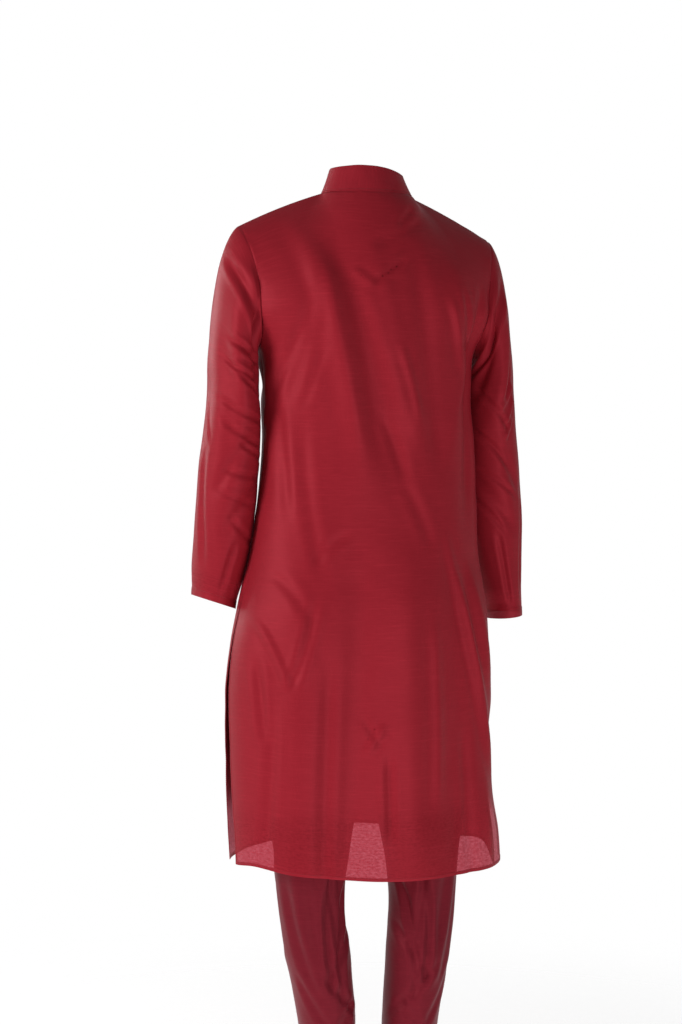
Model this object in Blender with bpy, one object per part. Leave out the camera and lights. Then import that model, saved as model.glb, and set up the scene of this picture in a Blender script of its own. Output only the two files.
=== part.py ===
"""Kurta churidar set: a knee-length kurta with a band collar, full sleeves and open side slits over
a churidar, both in the hollow form that they take when worn, standing with the arms down.

Metres, +Z up. The origin is the middle of the neck ring at the height of the nape seam. The back
faces +Y and the wearer's left is +X. Each piece of cloth is a wall worked out from level sections:
a shape function gives its outer face at any place, the inner face lies one wall inside it, and
where two pieces are sewn together both end on one shared mitre, SEAM_GAP apart.
"""

import bpy
import bmesh
import numpy as np
from mathutils import Matrix, Vector

# Walls and gaps
KURTA_WALL = 0.0014
COLLAR_WALL = 0.0022
CHURIDAR_WALL = 0.0013
PLACKET_WALL = 0.0013
SEAM_GAP = 0.0003
SHARPEST_MITRE = 0.6
RIM_CUT = (0.31, 0.52, 0.80)

# Neck and collar
NECK_HALF = 0.069
NAPE_Y = 0.058
THROAT_Y = -0.080
THROAT_DROP = 0.068
THROAT_EASE = 1.7
NECK_TILT = 0.015
COLLAR_HEIGHT = 0.038
COLLAR_SIDE_LOSS = 0.006
COLLAR_LEFT_GAIN = 0.004
COLLAR_LEAN = 0.013
COLLAR_ROUNDING = 0.2
COLLAR_OPENING = 0.006

# Levels of the kurta, from the hem up
SLIT_TOP_Z = -0.590
UNDERARM_Z = -0.228
BLADE_Z = -0.170
SHOULDER_LEFT = (0.195, -0.002, -0.050)
SHOULDER_RIGHT = (-0.195, -0.002, -0.064)
SHOULDER_BOW = 0.003
HEM, SLIT, UNDERARM, BLADE, TOP = range(5)
# How much of the armhole's lower curve rises evenly; the rest starts level.
ARMHOLE_STEADY = 0.4

# How a panel comes up to its top edge: its slope in degrees at the nape or throat, at the side of
# the neck and at the shoulder tip, how far it fans out there, and the length of that approach.
SLOPE_NAPE, SLOPE_SIDE, SLOPE_TIP = 58, 37, 20
NECK_SPREAD = 0.42
APPROACH = 0.038
RISE_SHARE = 0.42

# Over what share of a piece its folds fade out towards a seam
SIDE_FADE = 0.14
LEVEL_FADE = 0.35
CUFF_FADE = 0.12

# Placket and buttons
PLACKET_HALF = 0.016
PLACKET_EDGE_U = 0.063
PLACKET_END_Z = -0.400
PLACKET_TOP_SHY = 0.04
BUTTON_RADIUS = 0.0056
BUTTON_HEIGHT = 0.0026
BUTTON_RIM = 0.0007
BUTTON_LEVELS = (-0.115, -0.195, -0.275, -0.355)

# Churidar levels
WAIST_TOP_Z = -0.498
WAIST_SEAM_Z = -0.536
CROTCH_Z = -0.760
RINGS_TOP_Z = -1.265
ANKLE_Z = -1.462
ANKLE_RINGS = 9
RING_RISE = 0.0042
RING_TILT = 0.35
RING_PHASE = 2.1
RING_ROUNDNESS = 0.7
RING_FADE = 1.5

# Samples of each shape
NECK_COLUMNS = 5
SHOULDER_COLUMNS = 7
NECK_SHARE = NECK_COLUMNS / (NECK_COLUMNS + SHOULDER_COLUMNS)
SKIRT_ROWS = 11
TORSO_ROWS = 9
ARMHOLE_ROWS = 4
YOKE_ROWS = 5
CAP_ROWS = 7
CAP_CROWDING = 1.15
ARM_ROWS = 11
LEG_COLUMNS = 14
SEAT_ROWS = 7
THIGH_ROWS = 10
ROWS_PER_RING = 3

# How far inside a piece its facing is read for the mitre of a seam
SLEEVE_SAMPLE = 0.03
COLLAR_SAMPLE = 0.02


def table(names, *rows):
    """Named columns, as arrays, from rows of numbers."""
    return dict(zip(names.split(), np.array(rows, float).T))


# Level sections of the kurta's body: half width, depth to the back and to the front of the side
# seams, squareness of the oval (2 is an ellipse) and how far the middle sways to the left.
BODY = table(
    "z half back front square sway",
    (-1.020, 0.2080, 0.122, 0.120, 2.30, -0.001),
    (-0.985, 0.2080, 0.122, 0.120, 2.30, 0.000),
    (-0.870, 0.2020, 0.121, 0.119, 2.30, 0.011),
    (-0.670, 0.1980, 0.118, 0.117, 2.25, 0.010),
    (-0.608, 0.1880, 0.115, 0.115, 2.25, 0.007),
    (-0.548, 0.1745, 0.108, 0.113, 2.20, 0.005),
    (-0.456, 0.1670, 0.097, 0.112, 2.20, -0.002),
    (-0.380, 0.1625, 0.094, 0.114, 2.20, -0.005),
    (-0.300, 0.1600, 0.099, 0.119, 2.20, -0.001),
    (-0.228, 0.1660, 0.104, 0.118, 2.25, 0.000),
    (-0.170, 0.1960, 0.104, 0.107, 2.25, 0.000),
)

# Height of the two hems from the right corner to the left one.
HEMS = table(
    "u back front",
    (-1.00, -1.0000, -1.0190),
    (-0.85, -1.0025, -0.9900),
    (-0.60, -1.0050, -0.9860),
    (0.00, -1.0075, -0.9650),
    (0.50, -0.9940, -0.9840),
    (0.75, -0.9860, -0.9900),
    (1.00, -0.9895, -0.9920),
)

# Where each panel's edge lies on the section, in degrees from the centre of the panel. The front
# reaches further round at the right than at the left.
EDGE_ANGLES = table(
    "level back front front_right",
    (HEM, 82.0, 75.5, 88.0),
    (SLIT, 90.0, 90.0, 90.0),
    (UNDERARM, 90.0, 90.0, 90.0),
    (BLADE, 61.0, 62.0, 62.0),
)

# The left and right arm of the kurta, shoulder to cuff: centre and half sizes of its rings, and how
# steeply a ring tips up towards its outer side.
ARM_LEFT = table(
    "z x y across deep tip",
    (-0.270, 0.2025, -0.009, 0.0365, 0.0580, 0.00),
    (-0.320, 0.2022, -0.012, 0.0390, 0.0560, 0.00),
    (-0.400, 0.2055, -0.024, 0.0440, 0.0530, 0.00),
    (-0.460, 0.2085, -0.032, 0.0445, 0.0510, 0.00),
    (-0.520, 0.2125, -0.041, 0.0420, 0.0490, 0.10),
    (-0.565, 0.2165, -0.052, 0.0375, 0.0470, 0.24),
    (-0.607, 0.2210, -0.060, 0.0320, 0.0450, 0.34),
)
ARM_RIGHT = table(
    "z x y across deep tip",
    (-0.280, 0.2010, -0.014, 0.0350, 0.0580, 0.00),
    (-0.330, 0.2040, -0.018, 0.0375, 0.0560, 0.00),
    (-0.410, 0.2105, -0.024, 0.0410, 0.0530, 0.00),
    (-0.470, 0.2155, -0.028, 0.0415, 0.0510, 0.00),
    (-0.530, 0.2210, -0.033, 0.0380, 0.0500, 0.02),
    (-0.590, 0.2285, -0.038, 0.0320, 0.0500, 0.08),
    (-0.638, 0.2360, -0.042, 0.0270, 0.0500, 0.12),
)
# How a sleeve leaves the armhole: outwards, to the back or front, and down, and how far that pull
# lasts at the shoulder tip of each side and at the underarm, as a share of the way to the first ring.
CAP_OUT, CAP_SPREAD, CAP_DOWN = 0.78, 0.22, -0.58
CAP_PULL_LEFT, CAP_PULL_RIGHT, CAP_PULL_UNDER = 0.62, 0.40, 0.70
CAP_SETTLE = 0.9

# Left leg of the churidar, mirrored for the right: level rings from the crotch to the ankle.
LEG = table(
    "z x y across deep",
    (-1.470, 0.0610, 0.006, 0.0350, 0.0400),
    (-1.400, 0.0600, 0.009, 0.0345, 0.0390),
    (-1.320, 0.0620, 0.012, 0.0375, 0.0420),
    (-1.235, 0.0665, 0.014, 0.0430, 0.0480),
    (-1.145, 0.0780, 0.012, 0.0480, 0.0530),
    (-1.055, 0.0880, 0.004, 0.0500, 0.0540),
    (-0.960, 0.0870, 0.000, 0.0600, 0.0660),
    (-0.860, 0.0850, 0.000, 0.0740, 0.0840),
    (-0.760, 0.0850, 0.000, 0.0848, 0.0960),
)
# Seat of the churidar: half width and depths from the crotch level to the top of the casing. Just
# below the waist seam its front carries the folds of the kurta, which rest on it a hair away.
SEAT = table(
    "z half back front",
    (-0.760, 0.1700, 0.098, 0.0960),
    (-0.660, 0.1720, 0.100, 0.1040),
    (-0.590, 0.1600, 0.090, 0.1080),
    (-0.536, 0.1460, 0.080, 0.1087),
    (-0.498, 0.1430, 0.078, 0.1080),
)
SEAT_SQUARE = 2.2
SEAT_EASE = 1.4
FORK_INSIDE = (0.0012, 0.0, 0.0026)

# Soft folds. A row is a ridge, or with a negative depth a trough: its two ends, how far its middle
# bows sideways, its half width and its depth.
FOLD_NAMES = "x_from z_from x_to z_to bow width depth"
BACK_FOLDS = table(
    FOLD_NAMES,
    (0.112, -0.060, 0.030, -0.430, 0.006, 0.022, 0.0044),
    (0.060, -0.070, -0.022, -0.430, 0.006, 0.019, -0.0052),
    (0.018, -0.110, -0.052, -0.360, 0.000, 0.016, 0.0036),
    (-0.046, -0.110, -0.086, -0.400, 0.000, 0.015, -0.0040),
    (-0.120, -0.130, -0.112, -0.380, 0.006, 0.016, 0.0040),
    (-0.148, -0.180, -0.135, -0.480, 0.000, 0.012, -0.0045),
    (0.108, -0.150, 0.135, -0.310, -0.006, 0.013, -0.0030),
    (-0.070, -0.040, 0.010, -0.085, 0.000, 0.013, -0.0025),
    (0.045, -0.500, 0.070, -1.020, 0.006, 0.028, -0.0060),
    (-0.030, -0.560, -0.040, -1.020, -0.006, 0.030, 0.0060),
    (-0.105, -0.540, -0.110, -1.020, 0.004, 0.022, -0.0055),
    (-0.160, -0.480, -0.165, -1.020, 0.000, 0.016, 0.0060),
    (0.130, -0.560, 0.140, -1.020, 0.000, 0.024, 0.0060),
)
FRONT_FOLDS = table(
    FOLD_NAMES,
    (0.090, -0.110, 0.060, -0.420, 0.008, 0.022, -0.0040),
    (-0.090, -0.110, -0.066, -0.440, -0.006, 0.020, -0.0040),
    (0.135, -0.150, 0.125, -0.380, 0.004, 0.013, 0.0035),
    (-0.132, -0.150, -0.124, -0.420, 0.000, 0.014, 0.0035),
    (0.080, -0.460, 0.100, -1.000, 0.008, 0.026, -0.0060),
    (-0.085, -0.480, -0.095, -1.000, -0.004, 0.026, -0.0060),
    (0.020, -0.520, 0.030, -1.000, 0.004, 0.028, 0.0055),
    (0.150, -0.520, 0.160, -1.000, 0.000, 0.018, 0.0055),
    (-0.150, -0.500, -0.160, -1.000, 0.000, 0.018, 0.0055),
    (-0.196, -0.690, -0.198, -0.890, 0.000, 0.020, 0.0070),
)
# On a sleeve the first of each pair is the place round the arm, in turns from the outer side
# through the back, and the widths are in metres of cloth.
SLEEVE_GIRTH = 0.31
SLEEVE_FOLDS = table(
    FOLD_NAMES,
    (0.28, -0.110, 0.42, -0.300, 0.010, 0.012, -0.0060),
    (0.16, -0.130, 0.30, -0.330, 0.008, 0.014, 0.0040),
    (0.10, -0.200, 0.20, -0.420, -0.006, 0.016, -0.0035),
    (0.34, -0.360, 0.14, -0.440, 0.006, 0.011, -0.0040),
    (0.44, -0.420, 0.20, -0.500, 0.004, 0.011, -0.0035),
    (0.72, -0.120, 0.60, -0.300, -0.010, 0.013, -0.0050),
    (0.86, -0.200, 0.78, -0.420, 0.006, 0.016, -0.0035),
    (0.58, -0.380, 0.82, -0.450, 0.000, 0.012, -0.0035),
)

# Colours are sRGB
RED_CLOTH = (0.560, 0.125, 0.165)
MAROON_CLOTH = (0.430, 0.115, 0.155)
BUTTON_COLOUR = (0.300, 0.070, 0.085)


def clear_scene():
    """Remove the start-up objects."""
    for thing in list(bpy.data.objects):
        bpy.data.objects.remove(thing, do_unlink=True)


def linear(colour):
    """An sRGB colour as linear RGBA."""
    values = [c / 12.92 if c <= 0.04045 else ((c + 0.055) / 1.055) ** 2.4 for c in colour]
    return (*values, 1.0)


def finish(name, colour, roughness):
    """A plain material of one finish."""
    material = bpy.data.materials.new(name)
    material.use_nodes = True
    shader = material.node_tree.nodes["Principled BSDF"]
    shader.inputs["Base Color"].default_value = linear(colour)
    shader.inputs["Roughness"].default_value = roughness
    shader.inputs["Metallic"].default_value = 0.0
    return material


def smooth(t):
    """A soft step from 0 to 1."""
    t = np.clip(t, 0.0, 1.0)
    return t * t * (3.0 - 2.0 * t)


def read(columns, name, at, key="z"):
    """A smooth curve through one column of a table: cubic pieces whose slopes at the rows are those
    of the parabola through each row and its neighbours. It levels off at its ends and keeps the end
    value past them."""
    order = np.argsort(columns[key])
    knots, values = columns[key][order], columns[name][order]
    slopes = np.gradient(values, knots)
    slopes[[0, -1]] = 0.0
    at = np.clip(at, knots[0], knots[-1])
    i = np.clip(np.searchsorted(knots, at, side="right") - 1, 0, len(knots) - 2)
    span = knots[i + 1] - knots[i]
    t = (at - knots[i]) / span
    rise = values[i + 1] - values[i]
    bend = slopes[i] * span - rise
    unbend = rise - slopes[i + 1] * span
    return values[i] + t * rise + t * (1 - t) * ((1 - t) * bend + t * unbend)


def unit(vectors):
    """The same vectors at length 1."""
    return vectors / np.maximum(np.linalg.norm(vectors, axis=-1, keepdims=True), 1e-12)


def stack(x, y, z):
    """Points from arrays of coordinates that broadcast."""
    return np.stack(np.broadcast_arrays(x, y, z), axis=-1)


def oval(angle, half, depth, square):
    """A quarter-squared oval: an ellipse whose point at each angle is pushed out so that the powers
    of its two shares add up to one."""
    s, c = np.sin(angle), np.cos(angle)
    push = (np.abs(s) ** square + np.abs(c) ** square) ** (-1.0 / square)
    return half * s * push, depth * c * push


def folds(rows, across, z, turn=None):
    """Summed soft folds: each is a bell across a line that may bow, faded at both of its ends. With
    turn, the places across come round again after that length."""
    relief = np.zeros(np.broadcast(across, z).shape)
    for x0, z0, x1, z1, bow, width, depth in zip(*(rows[n] for n in FOLD_NAMES.split())):
        length = np.hypot(x1 - x0, z1 - z0)
        ux, uz = (x1 - x0) / length, (z1 - z0) / length
        off = across - x0
        if turn is not None:
            middle = (x1 - x0) / 2
            off = (off - middle + turn / 2) % turn - turn / 2 + middle
        share = (off * ux + (z - z0) * uz) / length
        side = off * uz - (z - z0) * ux - bow * 4 * share * (1 - share)
        fade = smooth((share + 0.15) / 0.35) * smooth((1.15 - share) / 0.35)
        relief = relief + depth * fade * np.exp(-((side / width) ** 2))
    return relief


def neck_ring(turn):
    """The collar seam: turn runs from 0 at the nape to 1 at the throat by the left, or to -1 by the
    right. An oval whose front half is deeper and sinks to the throat, more steeply the nearer it
    gets; the whole ring tips down to the right with the shoulders."""
    angle = turn * np.pi
    x = NECK_HALF * np.sin(angle)
    depth = np.where(np.cos(angle) > 0, NAPE_Y, -THROAT_Y)
    drop = THROAT_DROP * np.maximum(-np.cos(angle), 0) ** THROAT_EASE
    return stack(x, depth * np.cos(angle), NECK_TILT * x - drop)


def top_line(side, u):
    """The top edge of a panel: the neck ring, then a shoulder seam, bowed up, out to the tip."""
    reach = np.abs(u)
    half_turn = np.clip(reach / NECK_SHARE, 0, 1) / 2
    turn = half_turn if side > 0 else 1 - half_turn
    neck = neck_ring(np.where(u < 0, -turn, turn))
    share = np.clip((reach - NECK_SHARE) / (1 - NECK_SHARE), 0, None)[..., None]
    tip = np.where((u > 0)[..., None], SHOULDER_LEFT, SHOULDER_RIGHT)
    bow = 4 * SHOULDER_BOW * share[..., 0] * (1 - share[..., 0])
    return neck + share * (tip - neck) + stack(0, 0, bow)


def column_angle(side, u, level):
    """The angle of a panel's column. Over the armhole's lower curve the edge follows a quarter turn,
    so that the armhole leaves the side seam nearly level and rises straight, and the columns move
    in with it as the square of their place."""
    name = "back" if side > 0 else "front"
    low = np.interp(level, EDGE_ANGLES["level"][:3], EDGE_ANGLES[name][:3])
    if side < 0:
        right = np.interp(level, EDGE_ANGLES["level"][:3], EDGE_ANGLES["front_right"][:3])
        low = np.where(u < 0, right, low)
    turn = np.clip(level - UNDERARM, 0, 1) * np.pi / 2
    moved = (EDGE_ANGLES[name][2] - EDGE_ANGLES[name][3]) * np.sin(turn)
    return np.radians(low * u - moved * u * np.abs(u))


def level_z(side, u, level):
    """Height of a level below the blade line. The rows are closer where the armhole starts."""
    hem = read(HEMS, "back" if side > 0 else "front", u, key="u")
    skirt = hem + (SLIT_TOP_Z - hem) * np.minimum(level, SLIT)
    torso = (UNDERARM_Z - SLIT_TOP_Z) * np.clip(level - SLIT, 0, 1)
    share = np.clip(level - UNDERARM, 0, 1)
    share = ARMHOLE_STEADY * share + (1 - ARMHOLE_STEADY) * (1 - np.cos(share * np.pi / 2))
    return skirt + torso + (BLADE_Z - UNDERARM_Z) * share


def body_point(side, u, level, z):
    """A point of the oval section at one height, where u goes from edge to edge of the panel."""
    angle = column_angle(side, u, level)
    depth = read(BODY, "back" if side > 0 else "front", z)
    x, y = oval(angle, read(BODY, "half", z), depth, read(BODY, "square", z))
    return stack(x + read(BODY, "sway", z), side * y, z)


def plain_panel(side, u, level):
    """A panel without folds. Side is 1 for the back and -1 for the front, u runs from -1 at the
    right edge to 1 at the left, and level from HEM to TOP. Above the blade line each column is a
    Bezier curve that starts upright and arrives over the shoulder or against the neck."""
    u, level = np.broadcast_arrays(np.asarray(u, float), np.asarray(level, float))
    low = np.minimum(level, BLADE)
    foot = body_point(side, u, low, level_z(side, u, low))
    head = top_line(side, u)
    t = np.clip(level - BLADE, 0, None)[..., None]
    rise = head[..., 2] - foot[..., 2]
    first = foot + stack(0, 0, RISE_SHARE * rise)
    neck = np.clip(np.abs(u) / NECK_SHARE, 0, 1)
    left = np.clip((1 - np.abs(u)) / (1 - NECK_SHARE), 0, 1)
    slope = SLOPE_TIP + (SLOPE_SIDE - SLOPE_TIP) * left + (SLOPE_NAPE - SLOPE_SIDE) * smooth(1 - neck)
    slope = np.radians(slope)
    fan = NECK_SPREAD * np.sign(u) * np.sin(neck * np.pi / 2) * left**2
    away = stack(fan, side * np.sqrt(1 - fan**2), 0) * np.cos(slope)[..., None]
    second = head + APPROACH * (away - stack(0, 0, np.sin(slope)))
    above = (
        (1 - t) ** 3 * foot + 3 * (1 - t) ** 2 * t * first
        + 3 * (1 - t) * t**2 * second + t**3 * head
    )
    return np.where((level > BLADE)[..., None], above, foot)


def normals(shape, u, v, step=0.01):
    """Unit normals of a shape function: the cross product of its two directions."""
    across = shape(u + step, v) - shape(u - step, v)
    along = shape(u, v + step) - shape(u, v - step)
    return unit(np.cross(across, along))


def panel(side, u, level):
    """A panel with its folds, which fade out towards its seams and run on through its hem."""
    u, level = np.broadcast_arrays(np.asarray(u, float), np.asarray(level, float))
    points = plain_panel(side, u, level)
    outward = -side * normals(lambda a, b: plain_panel(side, a, b), u, level)
    seams = smooth((1 - np.abs(u)) / SIDE_FADE)
    free = smooth((SLIT - level) / LEVEL_FADE)
    fade = (seams + (1 - seams) * free) * smooth((TOP - level) / LEVEL_FADE)
    rows = BACK_FOLDS if side > 0 else FRONT_FOLDS
    relief = folds(rows, points[..., 0], points[..., 2]) * fade
    return points + outward * relief[..., None]


def arm_ring(arm, turn, z):
    """A ring of the sleeve: turn runs from the outer side through the back."""
    angle = turn * 2 * np.pi
    outward = read(arm, "across", z) * np.cos(angle)
    y = read(arm, "y", z) + read(arm, "deep", z) * np.sin(angle)
    return stack(read(arm, "x", z) + outward, y, z + read(arm, "tip", z) * outward)


def armhole(hand, turn):
    """The armhole seam, mirrored to the left: turn runs from the shoulder tip down the back to the
    underarm at a half, and up the front."""
    turn = np.mod(turn, 1.0)
    back = panel(1, np.full_like(turn, hand), TOP - 4 * np.minimum(turn, 0.5))
    front = panel(-1, np.full_like(turn, hand), UNDERARM + 4 * np.maximum(turn - 0.5, 0))
    points = np.where((turn <= 0.5)[..., None], back, front)
    return points * (hand, 1, 1)


def plain_sleeve(hand, turn, along):
    """A sleeve without folds, mirrored to the left. Along runs from 0 at the armhole to 1 where the
    cap has settled into the tube and 2 at the cuff. The cap is a cubic from the armhole, which it
    leaves outwards, to the first ring."""
    turn, along = np.broadcast_arrays(np.asarray(turn, float), np.asarray(along, float))
    arm = ARM_LEFT if hand > 0 else ARM_RIGHT
    top, cuff = arm["z"][0], arm["z"][-1]
    start, end = armhole(hand, turn), arm_ring(arm, turn, np.full(turn.shape, top))
    reach = np.linalg.norm(end - start, axis=-1)
    angle = turn * 2 * np.pi
    leave = stack(CAP_OUT, CAP_SPREAD * np.sin(angle), CAP_DOWN)
    top_pull = CAP_PULL_LEFT if hand > 0 else CAP_PULL_RIGHT
    pull = CAP_PULL_UNDER + (top_pull - CAP_PULL_UNDER) * (1 + np.cos(angle)) / 2
    leave = unit(leave) * (reach * pull)[..., None]
    settle = stack(0, 0, -CAP_SETTLE * reach)
    t = np.clip(along, None, 1)[..., None]
    cap = (
        (1 + 2 * t) * (1 - t) ** 2 * start + t * (1 - t) ** 2 * leave
        + t**2 * (3 - 2 * t) * end - t**2 * (1 - t) * settle
    )
    tube = arm_ring(arm, turn, top + (cuff - top) * np.clip(along - 1, 0, None))
    return np.where((along > 1)[..., None], tube, cap)


def sleeve(hand, turn, along):
    """A sleeve with its folds, which fade out at the armhole and the cuff."""
    turn, along = np.broadcast_arrays(np.asarray(turn, float), np.asarray(along, float))
    points = plain_sleeve(hand, turn, along)
    outward = -normals(lambda a, b: plain_sleeve(hand, a, b), turn, along)
    fade = smooth(along / LEVEL_FADE) * smooth((2 - along) / CUFF_FADE)
    rows = dict(SLEEVE_FOLDS)
    rows["x_from"] = rows["x_from"] * SLEEVE_GIRTH
    rows["x_to"] = rows["x_to"] * SLEEVE_GIRTH
    relief = folds(rows, turn * SLEEVE_GIRTH, points[..., 2], SLEEVE_GIRTH) * fade
    return points + outward * relief[..., None]


def collar(turn, up):
    """The band collar: turn runs as on the neck ring, and up from 0 at the seam to 1 at the top
    edge, which leans in towards the neck. It is lower at the sides, and lowest at the right."""
    base = neck_ring(turn)
    round_in = COLLAR_LEAN * up * (1 + COLLAR_ROUNDING * (1 - up))
    lean = unit(base * (1, 1, 0)) * round_in[..., None]
    aside = np.sin(turn * np.pi)
    height = COLLAR_HEIGHT - COLLAR_SIDE_LOSS * aside**2 + COLLAR_LEFT_GAIN * aside
    return base - lean + stack(0, 0, height * up)


def leg(turn, along):
    """The left leg. Turn runs from the inseam or centre front through the outer side to the inseam
    or centre back. Along runs from 0 at the ankle to 1 at the crotch and 2 at the waist seam. Above
    the crotch the closed ring opens into half of the seat's oval, quickly at first, so that the
    centre seam is a round fork."""
    turn, along = np.broadcast_arrays(np.asarray(turn, float), np.asarray(along, float))
    z = ANKLE_Z + (CROTCH_Z - ANKLE_Z) * np.clip(along, None, 1)
    rise = np.clip(along - 1, 0, 1)
    z = z + (WAIST_SEAM_Z - CROTCH_Z) * rise**SEAT_EASE
    opened = np.sin(rise * np.pi / 2)
    angle = turn * 2 * np.pi
    ring_z = np.minimum(z, CROTCH_Z)
    across, deep = read(LEG, "across", ring_z), read(LEG, "deep", ring_z)
    bulge = ankle_rings(turn, z)
    ring_x = read(LEG, "x", ring_z) - (across + bulge) * np.cos(angle)
    ring_y = read(LEG, "y", ring_z) - (deep + bulge) * np.sin(angle)
    depth = np.where(turn < 0.5, read(SEAT, "front", z), read(SEAT, "back", z))
    half_x, half_y = oval(turn * np.pi, read(SEAT, "half", z), depth, SEAT_SQUARE)
    half_x = half_x + SEAM_GAP / 2
    return stack(ring_x + opened * (half_x - ring_x), ring_y - opened * (half_y + ring_y), z)


def ankle_rings(turn, z):
    """Bulge of the bangle-like rings of spare cloth above the ankle: round ridges between narrow
    valleys, each ring tipped a little as it goes round, fading in below the calf."""
    pitch = (RINGS_TOP_Z - ANKLE_Z) / ANKLE_RINGS
    place = (RINGS_TOP_Z - z) / pitch
    tip = RING_TILT * np.sin(turn * 2 * np.pi + RING_PHASE * np.floor(place + 0.5))
    ridge = np.abs(np.sin(np.pi * place)) ** RING_ROUNDNESS
    fade = smooth(place / RING_FADE)
    return RING_RISE * fade * ridge * (1 + tip)


def waist_casing(turn, up):
    """The churidar's waist casing: turn runs once round from the centre front through the left."""
    z = WAIST_SEAM_Z + (WAIST_TOP_Z - WAIST_SEAM_Z) * up
    angle = turn * 2 * np.pi
    depth = np.where(np.cos(angle) > 0, read(SEAT, "front", z), read(SEAT, "back", z))
    x, y = oval(angle, read(SEAT, "half", z), depth, SEAT_SQUARE)
    return stack(x, -y, z)


def mitre(*facing):
    """The direction that splits the angle between the faces that meet at a seam."""
    return unit(sum(facing))


def rim(seam, across, own, inside, wall):
    """Outer and inner edge of one piece along a seam. Both edges move half of SEAM_GAP into the
    piece, square to the plane that the seam's line and the mitre span; the inner edge then lies
    down the mitre, so deep that the wall keeps its thickness unless the mitre is very sharp."""
    line = np.gradient(seam, axis=0)
    step = unit(np.cross(line, across))
    step = step * np.sign(np.sum(step * (inside - seam), axis=-1, keepdims=True))
    outer = seam + step * SEAM_GAP / 2
    share = np.clip(np.sum(own * across, axis=-1, keepdims=True), SHARPEST_MITRE, 1)
    return outer, outer - across * wall / share


def wall_object(name, outer, inner, grids, material):
    """One closed wall from index grids: their quads, cut in two, on the outer points, the same
    turned over on the inner points, and a rim along each edge that only one of them has. RIM_CUT
    says which way a rim's quads are cut, so that both sides of a seam are cut alike."""
    cut = []
    for ids in grids:
        a, b = ids[:-1, :-1].ravel(), ids[:-1, 1:].ravel()
        c, d = ids[1:, 1:].ravel(), ids[1:, :-1].ravel()
        cut += [np.stack((a, b, c), 1), np.stack((a, c, d), 1)]
    faces = np.concatenate(cut)
    edges = np.concatenate((faces[:, (0, 1)], faces[:, (1, 2)], faces[:, (2, 0)]))
    known = set(map(tuple, edges.tolist()))
    free = np.array([e for e in edges.tolist() if (e[1], e[0]) not in known])
    count = len(outer)
    p, q = free.T
    ahead = ((outer[p] - outer[q]) @ RIM_CUT > 0)[:, None]
    one = np.where(ahead, np.stack((q, p, q + count), 1), np.stack((q, p, p + count), 1))
    two = np.where(ahead, np.stack((p, p + count, q + count), 1),
                   np.stack((q, p + count, q + count), 1))
    rims = np.concatenate((one, two))
    points = np.concatenate((outer, inner))
    faces = np.concatenate((faces, faces[:, ::-1] + count, rims))
    used = np.unique(faces)
    place = np.zeros(len(points), int)
    place[used] = np.arange(len(used))
    mesh = bpy.data.meshes.new(name)
    mesh.from_pydata(points[used].tolist(), [], place[faces].tolist())
    mesh.validate()
    mesh.materials.append(material)
    mesh.shade_smooth()
    mesh.set_sharp_from_angle(angle=np.radians(50))
    thing = bpy.data.objects.new(name, mesh)
    bpy.context.scene.collection.objects.link(thing)
    return thing


def levels():
    """Levels of the rows of a panel, from the hem to the shoulder."""
    return np.concatenate((
        np.linspace(HEM, SLIT, SKIRT_ROWS + 1)[:-1],
        np.linspace(SLIT, UNDERARM, TORSO_ROWS + 1)[:-1],
        np.linspace(UNDERARM, BLADE, ARMHOLE_ROWS + 1)[:-1],
        np.linspace(BLADE, TOP, YOKE_ROWS + 1),
    ))


def columns(side):
    """Places of the columns of a panel. The front has one on each edge of the placket."""
    shoulder = np.linspace(NECK_SHARE, 1, SHOULDER_COLUMNS + 1)
    neck = np.linspace(0, NECK_SHARE, NECK_COLUMNS + 1)[:-1]
    if side < 0:
        neck = np.linspace(PLACKET_EDGE_U, NECK_SHARE, NECK_COLUMNS)[:-1]
        neck = np.concatenate(([0], neck))
    half = np.concatenate((neck, shoulder))
    return np.concatenate((-half[:0:-1], half))


def panel_normals(side, u, level):
    """Outward normals of a panel with its folds."""
    return -side * normals(lambda a, b: panel(side, a, b), u, level)


def sleeve_normals(hand, turn, along):
    """Outward normals of a sleeve, mirrored to the left."""
    return -normals(lambda a, b: sleeve(hand, a, b), turn, along)


def collar_normals(turn, up):
    """Outward normals of the collar."""
    return -normals(collar, turn, up)


def armhole_mitre(hand, side, rows):
    """Shared mitres up one half of an armhole, from the underarm to the shoulder tip, where the
    back, the front and the sleeve meet."""
    edge = np.full(len(rows), float(hand))
    turn = (TOP - rows) / 4 if side > 0 else 0.5 + (rows - UNDERARM) / 4
    body = panel_normals(side, edge, rows)
    other = panel_normals(-side, edge, rows)
    arm = sleeve_normals(hand, turn, np.full(len(rows), SLEEVE_SAMPLE)) * (hand, 1, 1)
    both = mitre(body, arm)
    for end in (0, -1):
        both[end] = mitre(mitre(body[end], other[end]), arm[end])
    return both


def side_mitre(hand, rows):
    """Shared mitres up a side seam."""
    edge = np.full(len(rows), float(hand))
    return mitre(panel_normals(1, edge, rows), panel_normals(-1, edge, rows))


def top_mitre(side, u):
    """Shared mitres along a panel's top edge: with the collar round the neck, and with the other
    panel along the shoulders."""
    top = np.full(len(u), float(TOP))
    own, other = panel_normals(side, u, top), panel_normals(-side, u, top)
    half_turn = np.abs(u) / NECK_SHARE / 2
    turn = np.where(u < 0, -1, 1) * (half_turn if side > 0 else 1 - half_turn)
    band = collar_normals(turn, np.full(len(u), COLLAR_SAMPLE))
    neck = np.abs(u) < NECK_SHARE - 1e-9
    corner = np.abs(np.abs(u) - NECK_SHARE) < 1e-9
    both = np.where(neck[:, None], mitre(own, band), mitre(own, other))
    return np.where(corner[:, None], mitre(mitre(own, other), band), both)


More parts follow.
